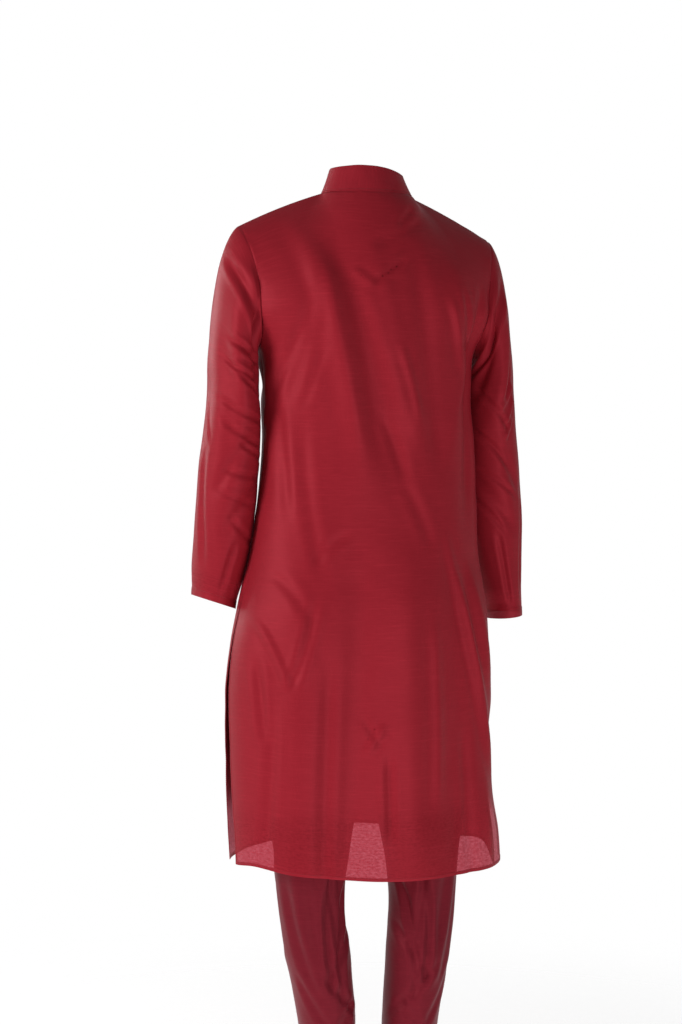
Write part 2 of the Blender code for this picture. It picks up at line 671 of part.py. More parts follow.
def body_panel(name, side, material):
    """The back or the front. Its rims are moved off its neighbours along the sides, the armholes,
    the shoulders and the neck; the front is slit down its centre behind the placket."""
    u, rows = columns(side), levels()
    grid_u, grid_level = np.meshgrid(u, rows)
    outer = panel(side, grid_u, grid_level)
    facing = panel_normals(side, grid_u, grid_level)
    inner = outer - facing * KURTA_WALL
    seam, edges = outer.copy(), outer.copy()
    first, under = SKIRT_ROWS, SKIRT_ROWS + TORSO_ROWS
    top = top_mitre(side, u)
    for hand, column, beside in ((-1, 0, 1), (1, -1, -2)):
        hole = armhole_mitre(hand, side, rows[under:])
        top[column] = hole[-1]
        flank = np.concatenate((side_mitre(hand, rows[first:under]), hole[:1]))
        for mitres, start, below in ((flank, first, 0), (hole, under, 1)):
            part = slice(start, start + len(mitres))
            inside = seam[start - below:start - below + len(mitres), beside]
            out, deep = rim(seam[part, column], mitres, facing[part, column], inside, KURTA_WALL)
            edges[part, column] += out - seam[part, column]
            inner[part, column] = edges[part, column] + deep - out
    out, deep = rim(seam[-1], top, facing[-1], seam[-2], KURTA_WALL)
    edges[-1] += out - seam[-1]
    inner[-1] = edges[-1] + deep - out
    ids = np.arange(edges.size // 3).reshape(edges.shape[:2])
    flat_outer, flat_inner = edges.reshape(-1, 3), inner.reshape(-1, 3)
    if side > 0:
        return wall_object(name, flat_outer, flat_inner, [ids[:, ::-1]], material)
    middle = len(u) // 2
    slit = edges[:, middle, 2] > PLACKET_END_Z
    copies = len(flat_outer) + np.arange(len(rows))
    left_ids = ids[:, middle:].copy()
    left_ids[slit, 0] = copies[slit]
    aside = np.where(slit, 1.0, 0.0)[:, None] * (SEAM_GAP, 0, 0)
    flat_outer = np.concatenate((flat_outer, edges[:, middle] + aside))
    flat_inner = np.concatenate((flat_inner, inner[:, middle] + aside))
    flat_outer[ids[:, middle]] -= aside
    flat_inner[ids[:, middle]] -= aside
    return wall_object(name, flat_outer, flat_inner, [ids[:, :middle + 1], left_ids], material)


def sleeve_object(name, hand, material):
    """A set-in sleeve. Its columns start at the rows of the two panels' armholes."""
    rows = levels()[SKIRT_ROWS + TORSO_ROWS:]
    turn = np.concatenate(((TOP - rows[::-1]) / 4, 0.5 + (rows[1:-1] - UNDERARM) / 4))
    cap = np.linspace(0, 1, CAP_ROWS + 1) ** CAP_CROWDING
    along = np.concatenate((cap, 1 + np.linspace(0, 1, ARM_ROWS + 1)[1:]))
    grid_turn, grid_along = np.meshgrid(turn, along)
    outer = sleeve(hand, grid_turn, grid_along)
    facing = sleeve_normals(hand, grid_turn, grid_along)
    inner = outer - facing * KURTA_WALL
    flip = np.array((hand, 1, 1))
    back, front = armhole_mitre(hand, 1, rows), armhole_mitre(hand, -1, rows)
    mitres = np.concatenate((back[::-1], front[1:-1])) * flip
    ring = np.concatenate((outer[0, -1:], outer[0], outer[0, :1]))
    around = [np.concatenate((a[-1:], a, a[:1])) for a in (mitres, facing[0], outer[1])]
    out, deep = rim(ring, around[0], around[1], around[2], KURTA_WALL)
    outer[0], inner[0] = out[1:-1], deep[1:-1]
    ids = np.arange(outer.size // 3).reshape(outer.shape[:2])
    ids = np.concatenate((ids, ids[:, :1]), axis=1)
    ids = ids[:, ::-1] if hand > 0 else ids
    return wall_object(
        name, (outer * flip).reshape(-1, 3), (inner * flip).reshape(-1, 3), [ids], material
    )


def collar_object(name, material):
    """The band collar, whose lower edge meets the panels column by column. Its two ends are drawn
    back from the throat along their own chords."""
    back, front = columns(1), columns(-1)
    rear = back[(back >= 0) & (back <= NECK_SHARE + 1e-9)] / NECK_SHARE / 2
    fore = 1 - front[(front > 0) & (front < NECK_SHARE - 1e-9)][::-1] / NECK_SHARE / 2
    half = np.concatenate((rear, fore, [1.0]))
    turn = np.concatenate((-half[:0:-1], half))
    up = np.array((0.0, 0.5, 1.0))
    grid_turn, grid_up = np.meshgrid(turn, up)
    outer = collar(grid_turn, grid_up)
    facing = collar_normals(grid_turn, grid_up)
    inner = outer - facing * COLLAR_WALL
    both = []
    for t in turn:
        side = 1 if abs(t) <= 0.5 else -1
        share = 2 * (abs(t) if side > 0 else 1 - abs(t)) * NECK_SHARE
        both.append(top_mitre(side, np.array((share if t > 0 else -share,)))[0])
    out, deep = rim(outer[0], np.array(both), facing[0], outer[1], COLLAR_WALL)
    outer[0], inner[0] = out, deep
    back_off = COLLAR_OPENING / 2 / PLACKET_HALF
    for points in (outer, inner):
        for end, beside in ((0, 1), (-1, -2)):
            points[:, end] += back_off * (points[:, beside] - points[:, end])
    ids = np.arange(outer.size // 3).reshape(outer.shape[:2])[:, ::-1]
    return wall_object(name, outer.reshape(-1, 3), inner.reshape(-1, 3), [ids], material)


def placket_object(name, material):
    """The placket strip: the front panel's own middle columns, moved out past its wall's face."""
    u, rows = columns(-1), levels()
    middle = len(u) // 2
    grid_u, grid_level = np.meshgrid(u[middle - 1:middle + 2], rows)
    face = panel(-1, grid_u, grid_level)
    facing = panel_normals(-1, grid_u, grid_level)
    kept = face[:, 1, 2] > PLACKET_END_Z
    face, facing = face[kept], facing[kept]
    face[-1] += (face[-2] - face[-1]) * PLACKET_TOP_SHY
    inner = face + facing * SEAM_GAP
    outer = face + facing * (SEAM_GAP + PLACKET_WALL)
    ids = np.arange(face.size // 3).reshape(face.shape[:2])
    return wall_object(name, outer.reshape(-1, 3), inner.reshape(-1, 3), [ids], material)


def button_object(name, z, material):
    """A flat button with a rounded rim, standing on the placket."""
    mesh = bpy.data.meshes.new(name)
    shape = bmesh.new()
    bmesh.ops.create_cone(
        shape, cap_ends=True, segments=12, radius1=BUTTON_RADIUS, radius2=BUTTON_RADIUS,
        depth=BUTTON_HEIGHT,
    )
    upper = [e for e in shape.edges if all(v.co.z > 0 for v in e.verts)]
    bmesh.ops.bevel(shape, geom=upper, offset=BUTTON_RIM, segments=2, affect="EDGES")
    shape.to_mesh(mesh)
    shape.free()
    mesh.materials.append(material)
    place = level_at(z)
    spot = panel(-1, np.zeros(1), np.array((place,)))[0]
    facing = panel_normals(-1, np.zeros(1), np.array((place,)))[0]
    lift = 3 * SEAM_GAP + PLACKET_WALL + BUTTON_HEIGHT / 2
    turned = Vector((0, 0, 1)).rotation_difference(Vector(facing)).to_matrix().to_4x4()
    mesh.transform(Matrix.Translation(Vector(spot + facing * lift)) @ turned)
    thing = bpy.data.objects.new(name, mesh)
    bpy.context.scene.collection.objects.link(thing)
    return thing


def level_at(z):
    """The level of the front's centre line at a height."""
    trial = np.linspace(SLIT, TOP, 400)
    heights = panel(-1, np.zeros(len(trial)), trial)[:, 2]
    return float(np.interp(z, heights, trial))


def leg_object(name, hand, material):
    """A leg of the churidar with its half of the seat, open at the ankle."""
    turn = np.linspace(0, 1, LEG_COLUMNS + 1)
    count = ANKLE_RINGS * ROWS_PER_RING
    rings = np.linspace(ANKLE_Z, RINGS_TOP_Z, count + 1)
    thigh = np.linspace(RINGS_TOP_Z, CROTCH_Z, THIGH_ROWS + 1)[1:]
    low = (np.concatenate((rings, thigh)) - ANKLE_Z) / (CROTCH_Z - ANKLE_Z)
    along = np.concatenate((low, 1 + np.linspace(0, 1, SEAT_ROWS + 1)[1:]))
    grid_turn, grid_along = np.meshgrid(turn, along)
    outer = leg(grid_turn, grid_along)
    facing = normals(leg, grid_turn, grid_along, 0.004)
    fork = len(low) - 1
    joined = unit(facing[:fork + 1, 0] + facing[:fork + 1, -1])
    facing[:fork + 1, 0] = facing[:fork + 1, -1] = joined
    inner = outer - facing * CHURIDAR_WALL
    inner[fork:, (0, -1), 0] = outer[fork:, (0, -1), 0]
    inner[fork, (0, -1)] = outer[fork, (0, -1)] + FORK_INSIDE
    inner[-1, :, 2] = outer[-1, :, 2]
    flip = np.array((hand, 1, 1))
    ids = np.arange(outer.size // 3).reshape(outer.shape[:2])
    ids[:fork + 1, -1] = ids[:fork + 1, 0]
    ids = ids if hand > 0 else ids[:, ::-1]
    return wall_object(
        name, (outer * flip).reshape(-1, 3), (inner * flip).reshape(-1, 3), [ids], material
    )


def waistband_object(name, material):
    """The waist casing, whose columns stand over those of the two legs."""
    turn = np.linspace(0, 1, 2 * LEG_COLUMNS + 1)[:-1]
    up = np.array((SEAM_GAP / (WAIST_TOP_Z - WAIST_SEAM_Z), 0.5, 1.0))
    grid_turn, grid_up = np.meshgrid(turn, up)
    outer = waist_casing(grid_turn, grid_up)
    facing = normals(waist_casing, grid_turn, grid_up)
    inner = outer - facing * CHURIDAR_WALL * (1, 1, 0)
    ids = np.arange(outer.size // 3).reshape(outer.shape[:2])
    ids = np.concatenate((ids, ids[:, :1]), axis=1)
    return wall_object(name, outer.reshape(-1, 3), inner.reshape(-1, 3), [ids], material)


def main():
    clear_scene()
    red = finish("kurta_cloth", RED_CLOTH, 0.62)
    maroon = finish("churidar_cloth", MAROON_CLOTH, 0.68)
    plastic = finish("button_plastic", BUTTON_COLOUR, 0.35)
    body_panel("kurta_back", 1, red)
    body_panel("kurta_front", -1, red)
    sleeve_object("sleeve_left", 1, red)
    sleeve_object("sleeve_right", -1, red)
    collar_object("collar", red)
    placket_object("placket", red)
    for number, z in enumerate(BUTTON_LEVELS, 1):
        button_object(f"button_{number}", z, plastic)
    leg_object("churidar_leg_left", 1, maroon)
    leg_object("churidar_leg_right", -1, maroon)
    waistband_object("churidar_waistband", maroon)


main()
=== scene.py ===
from functools import partial

import bpy
import numpy as np
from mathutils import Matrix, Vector


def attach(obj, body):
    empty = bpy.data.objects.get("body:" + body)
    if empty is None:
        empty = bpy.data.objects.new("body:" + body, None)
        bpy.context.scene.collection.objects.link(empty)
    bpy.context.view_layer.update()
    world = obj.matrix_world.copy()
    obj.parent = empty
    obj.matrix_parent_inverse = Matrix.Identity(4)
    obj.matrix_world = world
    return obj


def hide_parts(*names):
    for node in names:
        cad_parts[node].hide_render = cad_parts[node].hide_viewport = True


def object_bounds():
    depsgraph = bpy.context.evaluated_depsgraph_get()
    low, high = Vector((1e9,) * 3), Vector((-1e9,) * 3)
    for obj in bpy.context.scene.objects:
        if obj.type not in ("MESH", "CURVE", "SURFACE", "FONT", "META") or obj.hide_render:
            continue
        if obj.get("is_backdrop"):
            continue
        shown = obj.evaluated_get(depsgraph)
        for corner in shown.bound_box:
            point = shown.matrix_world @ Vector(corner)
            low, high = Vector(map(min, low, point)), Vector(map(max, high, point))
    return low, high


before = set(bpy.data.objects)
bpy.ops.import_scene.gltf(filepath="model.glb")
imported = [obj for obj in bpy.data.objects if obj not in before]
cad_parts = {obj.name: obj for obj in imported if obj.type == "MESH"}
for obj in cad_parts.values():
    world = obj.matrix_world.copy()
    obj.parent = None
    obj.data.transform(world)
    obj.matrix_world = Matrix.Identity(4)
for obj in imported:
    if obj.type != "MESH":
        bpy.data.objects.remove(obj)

bl_info = {
    "name": "Kurta churidar set",
    "version": (1, 0, 0),
    "blender": (4, 5, 0),
    "location": "View3D > Sidebar > Kurta",
    "description": "Dresses the solids of a kurta churidar set in thin, creased, sewn cloth",
    "category": "Add Mesh",
}

# Metres, +Z up. The origin is the middle of the neck ring at the nape, the back faces +Y and the
# wearer's left is +X. The shape functions and their tables are those of the solids; here they are
# sampled on finer grids, get the small creases, and become thin shells.
CAD_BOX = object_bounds()

# Hems, seams and seam allowances
HEM_EXTRA = 0.0004
HEM_STEP = 0.0012
HEM_LAYERS = 1.6
ALLOWANCE = 0.010
ALLOWANCE_STEP = 0.002
SEAM_DIP = 0.0005
SEAM_DIP_WIDTH = 0.0022
STITCH_INSET = 0.001
# Light passes fewer layers near the hem and the cuffs than above, where the worn set is filled
BODY_LAYERS = 3.0
STIFF_LAYERS = 3.0
SHEER_Z = -0.93
SHEER_RUN = 0.09
CUFF_SHEER = 0.035
CUFF_SHEER_RUN = 0.02
# Creases fade out this far from a seam, and puckers reach this far; at the seam itself both stop
STILL_REACH = 0.02
PUCKER_REACH = 0.012
SHUT_REACH = 0.004
GATHER_PLACE = 0.008
CUFF_PUCKER = 0.012
CUFF_PUCKER_REACH = 0.010
# Past its ends a fold runs on by this share of its length and fades over that share. A crease has
# flanks of this share of its depth, this many half widths out, this many wide.
FOLD_PAST = 0.15
FOLD_RUN = 0.35
CREASE_FLANKS = 0.32
FLANK_PLACE = 2.0
FLANK_WIDTH = 0.9
# Metres of cloth that one level or one step along covers; the yoke's gain towards its sides
SKIRT_LENGTH = 0.40
YOKE_LENGTH = 0.12
YOKE_GAIN = 0.03
CAP_LENGTH = 0.17
TUBE_LENGTH = 0.34
LEG_LENGTH = 0.70

# Neck and collar
NECK_HALF = 0.069
NAPE_Y = 0.058
THROAT_Y = -0.080
THROAT_DROP = 0.068
THROAT_EASE = 1.7
NECK_TILT = 0.015
COLLAR_HEIGHT = 0.038
COLLAR_SIDE_LOSS = 0.006
COLLAR_LEFT_GAIN = 0.004
COLLAR_LEAN = 0.013
COLLAR_ROUNDING = 0.2
COLLAR_OPENING = 0.006
COLLAR_CORNER = 0.006
COLLAR_CORNER_DROP = 0.16
COLLAR_TOP_ROUND = 0.025
COLLAR_STITCHES = (0.08, 0.90)
NECK_RUN = 0.236

# Levels of the kurta, from the hem up
SLIT_TOP_Z = -0.590
UNDERARM_Z = -0.228
BLADE_Z = -0.170
SHOULDER_LEFT = (0.195, -0.002, -0.050)
SHOULDER_RIGHT = (-0.195, -0.002, -0.064)
SHOULDER_BOW = 0.003
HEM, SLIT, UNDERARM, BLADE, TOP = range(5)
ARMHOLE_STEADY = 0.4
SLOPE_NAPE, SLOPE_SIDE, SLOPE_TIP = 58, 37, 20
NECK_SPREAD = 0.42
APPROACH = 0.038
RISE_SHARE = 0.42
NECK_SHARE = 5 / 12
SIDE_FADE = 0.14
LEVEL_FADE = 0.35
CUFF_FADE = 0.12
CREASE_FADE = 0.10
YOKE_BLEND = 0.16
YOKE_STEPS = (-1.0, -0.66, -0.33, 0.0, 0.33, 0.66, 1.0)

# Placket and buttons
PLACKET_HALF = 0.016
PLACKET_EDGE_U = 0.063
PLACKET_END_Z = -0.400
PLACKET_LIFT = 0.0004
PLACKET_THICK = 0.0013
PLACKET_STITCH = 0.86
PLACKET_EDGE = 0.35
PLACKET_EDGE_POWER = 14
STITCH_DENT = 0.0003
BUTTON_RADIUS = 0.0056
BUTTON_THICK = 0.0026
BUTTON_LIFT = 0.0022
BUTTON_DISH_RINGS = 8
HOLE_SPACING = 0.0013
HOLE_RADIUS = 0.00062
HOLE_DEPTH = 0.0012
HOLE_HALF = 0.0065
HOLE_EDGE = 0.0011
HOLE_BAR = 0.0003
HOLE_THREAD = 0.0019
CROSS_THREAD = 0.0040
BUTTON_HOLES = [(x * HOLE_SPACING, y * HOLE_SPACING) for x in (1, -1) for y in (1, -1)]
BUTTON_LEVELS = (-0.115, -0.195, -0.275, -0.355)

# Churidar: levels, ankle rings, seat and casing
WAIST_TOP_Z = -0.498
WAIST_SEAM_Z = -0.536
CROTCH_Z = -0.760
RINGS_TOP_Z = -1.265
ANKLE_Z = -1.462
ANKLE_RINGS = 9
RING_RISE = 0.0042
RING_TILT = 0.35
RING_PHASE = 2.1
RING_ROUNDNESS = 0.7
RING_FADE = 1.5
SEAT_SQUARE = 2.2
SEAT_EASE = 1.4
SEAT_TUCK = 0.0015
TUCK_Z = -0.90
TUCK_RUN = 0.06
LEG_CREASE_FADE = 0.08
CASING_CLOTHS = 1.5
CASING_PULL = 0.5 * SEAT_TUCK / 0.1

# Weave and studio
WEAVE_PITCH = 0.0006
FLOOR_GAP = 0.001
FLOOR_RADIUS = 1.6
FLOOR_FADE = (0.45, 0.97 * FLOOR_RADIUS)
FLOOR_GLOW = 0.60
# Ambient light by where it comes from: behind the garment, from the camera's side, from above
AMBIENT_BEHIND = 0.56
AMBIENT_BEFORE = 0.37
AMBIENT_ABOVE = 0.40
GARMENT_MIDDLE = (0.0, 0.0, -0.60)
WHITE = (1, 1, 1, 1)
# Lamps: name, place, size, power
STUDIO_LIGHTS = (
    ("key", (3.00, 0.78, 0.20), 1.3, 56.0),
    ("fill", (-0.30, 2.30, -1.20), 1.3, 19.0),
    ("front", (2.10, -2.55, 0.30), 1.3, 25.0),
)
CAMERA_LENS = 75
CAMERA_PLACE = (0.989, 3.043, -0.335)
CAMERA_AIM = (0.0357, -0.0116, -0.473)


def table(names, *rows):
    """Named columns, as arrays, from rows of numbers."""
    return dict(zip(names.split(), np.array(rows, float).T))


# Level sections of the body: half width, depths, squareness of the oval and sway to the left
BODY = table(
    "z half back front square sway",
    (-1.020, 0.2080, 0.122, 0.120, 2.30, -0.001),
    (-0.985, 0.2080, 0.122, 0.120, 2.30, 0.000),
    (-0.870, 0.2020, 0.121, 0.119, 2.30, 0.011),
    (-0.670, 0.1980, 0.118, 0.117, 2.25, 0.010),
    (-0.608, 0.1880, 0.115, 0.115, 2.25, 0.007),
    (-0.548, 0.1745, 0.108, 0.113, 2.20, 0.005),
    (-0.456, 0.1670, 0.097, 0.112, 2.20, -0.002),
    (-0.380, 0.1625, 0.094, 0.114, 2.20, -0.005),
    (-0.300, 0.1600, 0.099, 0.119, 2.20, -0.001),
    (-0.228, 0.1660, 0.104, 0.118, 2.25, 0.000),
    (-0.170, 0.1960, 0.104, 0.107, 2.25, 0.000),
)
HEMS = table(
    "u back front",
    (-1.00, -1.0000, -1.0190),
    (-0.85, -1.0025, -0.9900),
    (-0.60, -1.0050, -0.9860),
    (0.00, -1.0075, -0.9650),
    (0.50, -0.9940, -0.9840),
    (0.75, -0.9860, -0.9900),
    (1.00, -0.9895, -0.9920),
)
EDGE_ANGLES = table(
    "level back front front_right",
    (HEM, 82.0, 75.5, 88.0),
    (SLIT, 90.0, 90.0, 90.0),
    (UNDERARM, 90.0, 90.0, 90.0),
    (BLADE, 61.0, 62.0, 62.0),
)
# Half girth of a panel by level, to turn a share of it into metres of cloth
HALF_GIRTH = table(
    "level wide",
    (HEM, 0.252),
    (SLIT, 0.240),
    (UNDERARM, 0.215),
    (BLADE, 0.178),
    (TOP, 0.215),
)
ARM_LEFT = table(
    "z x y across deep tip",
    (-0.270, 0.2025, -0.009, 0.0365, 0.0580, 0.00),
    (-0.320, 0.2022, -0.012, 0.0390, 0.0560, 0.00),
    (-0.400, 0.2055, -0.024, 0.0440, 0.0530, 0.00),
    (-0.460, 0.2085, -0.032, 0.0445, 0.0510, 0.00),
    (-0.520, 0.2125, -0.041, 0.0420, 0.0490, 0.10),
    (-0.565, 0.2165, -0.052, 0.0375, 0.0470, 0.24),
    (-0.607, 0.2210, -0.060, 0.0320, 0.0450, 0.34),
)
ARM_RIGHT = table(
    "z x y across deep tip",
    (-0.280, 0.2010, -0.014, 0.0350, 0.0580, 0.00),
    (-0.330, 0.2040, -0.018, 0.0375, 0.0560, 0.00),
    (-0.410, 0.2105, -0.024, 0.0410, 0.0530, 0.00),
    (-0.470, 0.2155, -0.028, 0.0415, 0.0510, 0.00),
    (-0.530, 0.2210, -0.033, 0.0380, 0.0500, 0.02),
    (-0.590, 0.2285, -0.038, 0.0320, 0.0500, 0.08),
    (-0.638, 0.2360, -0.042, 0.0270, 0.0500, 0.12),
)
CAP_OUT, CAP_SPREAD, CAP_DOWN = 0.78, 0.22, -0.58
CAP_PULL_LEFT, CAP_PULL_RIGHT, CAP_PULL_UNDER = 0.62, 0.40, 0.70
CAP_SETTLE = 0.9
LEG = table(
    "z x y across deep",
    (-1.470, 0.0610, 0.006, 0.0350, 0.0400),
    (-1.400, 0.0600, 0.009, 0.0345, 0.0390),
    (-1.320, 0.0620, 0.012, 0.0375, 0.0420),
    (-1.235, 0.0665, 0.014, 0.0430, 0.0480),
    (-1.145, 0.0780, 0.012, 0.0480, 0.0530),
    (-1.055, 0.0880, 0.004, 0.0500, 0.0540),
    (-0.960, 0.0870, 0.000, 0.0600, 0.0660),
    (-0.860, 0.0850, 0.000, 0.0740, 0.0840),
    (-0.760, 0.0850, 0.000, 0.0848, 0.0960),
)
SEAT = table(
    "z half back front",
    (-0.760, 0.1700, 0.098, 0.0960),
    (-0.660, 0.1720, 0.100, 0.1040),
    (-0.590, 0.1600, 0.090, 0.1080),
    (-0.536, 0.1460, 0.080, 0.1087),
    (-0.498, 0.1430, 0.078, 0.1080),
)

# Turned profile of a button, from the middle of its face round to the middle of its underside, in
# shares of its radius and its thickness
BUTTON_PROFILE = table(
    "radius height",
    (0.00, 0.52),
    (0.12, 0.52),
    (0.22, 0.52),
    (0.31, 0.53),
    (0.40, 0.54),
    (0.50, 0.56),
    (0.60, 0.60),
    (0.68, 0.66),
    (0.78, 0.86),
    (0.88, 0.98),
    (0.95, 0.92),
    (1.00, 0.62),
    (0.99, 0.25),
    (0.93, 0.00),
    (0.50, 0.00),
    (0.00, 0.00),
)

FOLD_NAMES = "x_from z_from x_to z_to bow width depth"


def fold_table(*rows):
    """Folds in metres, from rows in millimetres. A row is a ridge, or with a negative depth a trough:
    its two ends, how far its middle bows sideways, its half width and its depth. On a sleeve or leg
    the places across are thousandths of a turn."""
    return table(FOLD_NAMES, *(np.array(rows) / 1000))


# Folds of the solids. On a sleeve the turn runs round the arm from its outer side through the back.
BACK_FOLDS = fold_table(
    (112, -60, 30, -430, 6, 22, 4.4), (60, -70, -22, -430, 6, 19, -5.2),
    (18, -110, -52, -360, 0, 16, 3.6), (-46, -110, -86, -400, 0, 15, -4),
    (-120, -130, -112, -380, 6, 16, 4), (-148, -180, -135, -480, 0, 12, -4.5),
    (108, -150, 135, -310, -6, 13, -3), (-70, -40, 10, -85, 0, 13, -2.5),
    (45, -500, 70, -1020, 6, 28, -6), (-30, -560, -40, -1020, -6, 30, 6),
    (-105, -540, -110, -1020, 4, 22, -5.5), (-160, -480, -165, -1020, 0, 16, 6),
    (130, -560, 140, -1020, 0, 24, 6),
)
FRONT_FOLDS = fold_table(
    (90, -110, 60, -420, 8, 22, -4), (-90, -110, -66, -440, -6, 20, -4),
    (135, -150, 125, -380, 4, 13, 3.5), (-132, -150, -124, -420, 0, 14, 3.5),
    (80, -460, 100, -1000, 8, 26, -6), (-85, -480, -95, -1000, -4, 26, -6),
    (20, -520, 30, -1000, 4, 28, 5.5), (150, -520, 160, -1000, 0, 18, 5.5),
    (-150, -500, -160, -1000, 0, 18, 5.5), (-196, -690, -198, -890, 0, 20, 7),
)
SLEEVE_GIRTH = 0.31
SLEEVE_FOLDS = fold_table(
    (280, -110, 420, -300, 10, 12, -6), (160, -130, 300, -330, 8, 14, 4),
    (100, -200, 200, -420, -6, 16, -3.5), (340, -360, 140, -440, 6, 11, -4),
    (440, -420, 200, -500, 4, 11, -3.5), (720, -120, 600, -300, -10, 13, -5),
    (860, -200, 780, -420, 6, 16, -3.5), (580, -380, 820, -450, 0, 12, -3.5),
)

# Creases that only the thin cloth has. They are narrower than the folds and have a low ridge along
# each side. On a leg the turn runs from the inseam through the front and the outer side.
BACK_CREASES = fold_table(
    (128, -205, 152, -290, 0, 5.5, -1.8), (94, -228, 120, -317, 2, 6, -1.5),
    (146, -250, 160, -350, 0, 4.8, -1.3), (100, -110, 92, -210, 2, 7, -1.3),
    (50, -118, 20, -140, 0, 5.4, 2.5), (20, -136, -30, -102, 0, 5.4, -3.2),
    (-26, -50, -52, -26, 0, 5.4, -2.2), (118, -70, 46, -350, 5, 12, 3.2),
    (76, -80, 12, -370, 5, 12.5, -4.6), (40, -130, -24, -330, 3, 11, 3),
    (-60, -45, 12, -78, 2, 6.3, -1.6), (-102, -160, -124, -262, 3, 5.9, 2.8),
    (-124, -150, -138, -250, 2, 4.5, -2.8), (-158, -150, -132, -310, 4, 6.3, -5.2),
    (-140, -240, -142, -450, 2, 6.7, -3.2), (-20, -230, -52, -330, 2, 5.4, 2.2),
    (4, -330, -30, -420, 3, 7.2, -2.2), (118, -340, 98, -560, -4, 8.1, -2.2),
    (152, -300, 140, -470, 3, 6.3, -2.5), (186, -626, 148, -722, 2, 5, 3.4),
    (110, -600, 145, -722, 4, 5.8, -3.9), (188, -690, 180, -800, 0, 5, -3.4),
    (160, -560, 120, -620, 4, 6.6, -2), (-100, -520, -152, -740, 0, 5.8, 3.2),
    (-118, -560, -180, -880, -2, 6.2, 4.2), (-140, -560, -190, -800, 0, 6, 2.6),
    (4, -830, 1, -945, 0, 5.8, -3.9), (11, -780, 36, -816, 0, 5, 3.1),
    (40, -770, 18, -806, 0, 4.1, -2.3), (92, -700, 100, -1020, -2, 9.1, -3.4),
    (-70, -640, -74, -900, 3, 8.3, 3), (-126, -800, -134, -1020, 0, 7.5, -3.4),
    (170, -760, 178, -960, 2, 6.6, -2.7), (-30, -430, -70, -520, 3, 8.1, -1.8),
    (60, -500, 110, -545, -3, 6.6, -2),
)
FRONT_CREASES = fold_table(
    (112, -160, 154, -290, -8, 5.6, -4), (-110, -158, -152, -300, 9, 5.6, -3.6),
    (128, -200, 158, -300, -6, 4.8, -2.6), (-96, -196, -140, -276, 6, 5, -2.4),
    (-140, -220, -138, -400, 3, 6.4, -3.4), (145, -260, 140, -430, 2, 6.2, -3),
    (48, -110, 78, -210, 4, 6.6, -2.6), (-50, -100, -86, -196, -4, 6.4, -2.8),
    (-34, -150, -52, -236, -3, 5.6, 1.8), (40, -420, 106, -520, -4, 7, -3),
    (-36, -430, -102, -500, 4, 6.6, -2.6), (-130, -460, -78, -566, 3, 6.2, -2.4),
    (150, -470, 88, -600, -5, 6, -2.6), (20, -450, -12, -560, 3, 7, 2),
    (120, -560, 130, -820, 3, 8, -3.6), (-120, -560, -128, -840, 2, 7.6, -3.8),
    (52, -600, 62, -930, 4, 9, -3.2), (-46, -580, -54, -900, -4, 8.6, -3),
    (-8, -640, 4, -985, 3, 9.6, -2.8), (170, -640, 178, -960, 2, 7, -3),
    (-168, -660, -174, -960, 0, 7, -3.2), (88, -760, 96, -985, -2, 8, 2.6),
    (-82, -720, -94, -960, 3, 7.6, 2.8), (178, -620, 140, -710, 2, 5.4, 2.2),
    (-176, -626, -136, -720, -2, 5.4, -2.4),
)
LEFT_SLEEVE_CREASES = fold_table(
    (160, -75, 300, -192, 4, 5, -7), (60, -105, 350, -226, -3, 5, -5.8),
    (150, -216, 420, -252, 3, 4.3, -3.9), (120, -244, 420, -284, 4, 3.6, -3.4),
    (220, -268, 440, -304, 2, 3.4, -3.8), (100, -302, 420, -338, 5, 4, -3),
    (130, -334, 400, -372, 4, 4.3, -3.3), (240, -366, 450, -394, 2, 3.4, -2.6),
    (170, -406, 420, -420, 3, 4.1, -2.4), (150, -436, 400, -462, 3, 3.8, -1.4),
    (240, -480, 440, -520, 4, 4.3, -1.9), (-10, -300, 60, -366, 2, 3.4, 1.9),
    (40, -380, 100, -540, 3, 5.9, -3), (280, -520, 240, -590, 2, 5.5, -2.4),
    (720, -130, 580, -260, 6, 5.1, -4.6), (820, -180, 660, -330, 8, 5.9, -3.2),
    (580, -330, 780, -380, 4, 4.3, -3.5), (560, -400, 800, -440, 4, 4.3, -3.5),
    (880, -440, 900, -570, 3, 5.9, -2.7), (940, -220, 900, -360, 6, 7.6, -2.4),
)
RIGHT_SLEEVE_CREASES = fold_table(
    (200, -100, 400, -200, 4, 4.7, -5.4), (120, -130, 440, -262, 4, 4.7, -4.9),
    (140, -190, 240, -330, 6, 5.1, -3.2), (150, -280, 240, -316, 2, 4.3, 3.5),
    (130, -300, 220, -340, 2, 3.8, 3.2), (160, -330, 230, -362, 2, 3.8, 2.7),
    (420, -290, 200, -350, 5, 4.3, -2.9), (460, -345, 220, -405, 5, 4.3, -3.1),
    (400, -410, 180, -450, 3, 3.8, -2.4), (460, -450, 260, -505, 4, 4.3, -2.4),
    (100, -440, 140, -600, 3, 5.9, -3), (300, -510, 270, -620, 2, 5.5, -3),
    (720, -140, 580, -270, 6, 5.1, -4.6), (840, -200, 680, -350, 6, 5.9, -3.2),
    (560, -350, 800, -400, 4, 4.3, -3.5), (580, -430, 800, -470, 4, 4.3, -3.2),
    (900, -460, 920, -600, 3, 5.9, -2.7),
)
LEG_GIRTH = 0.33
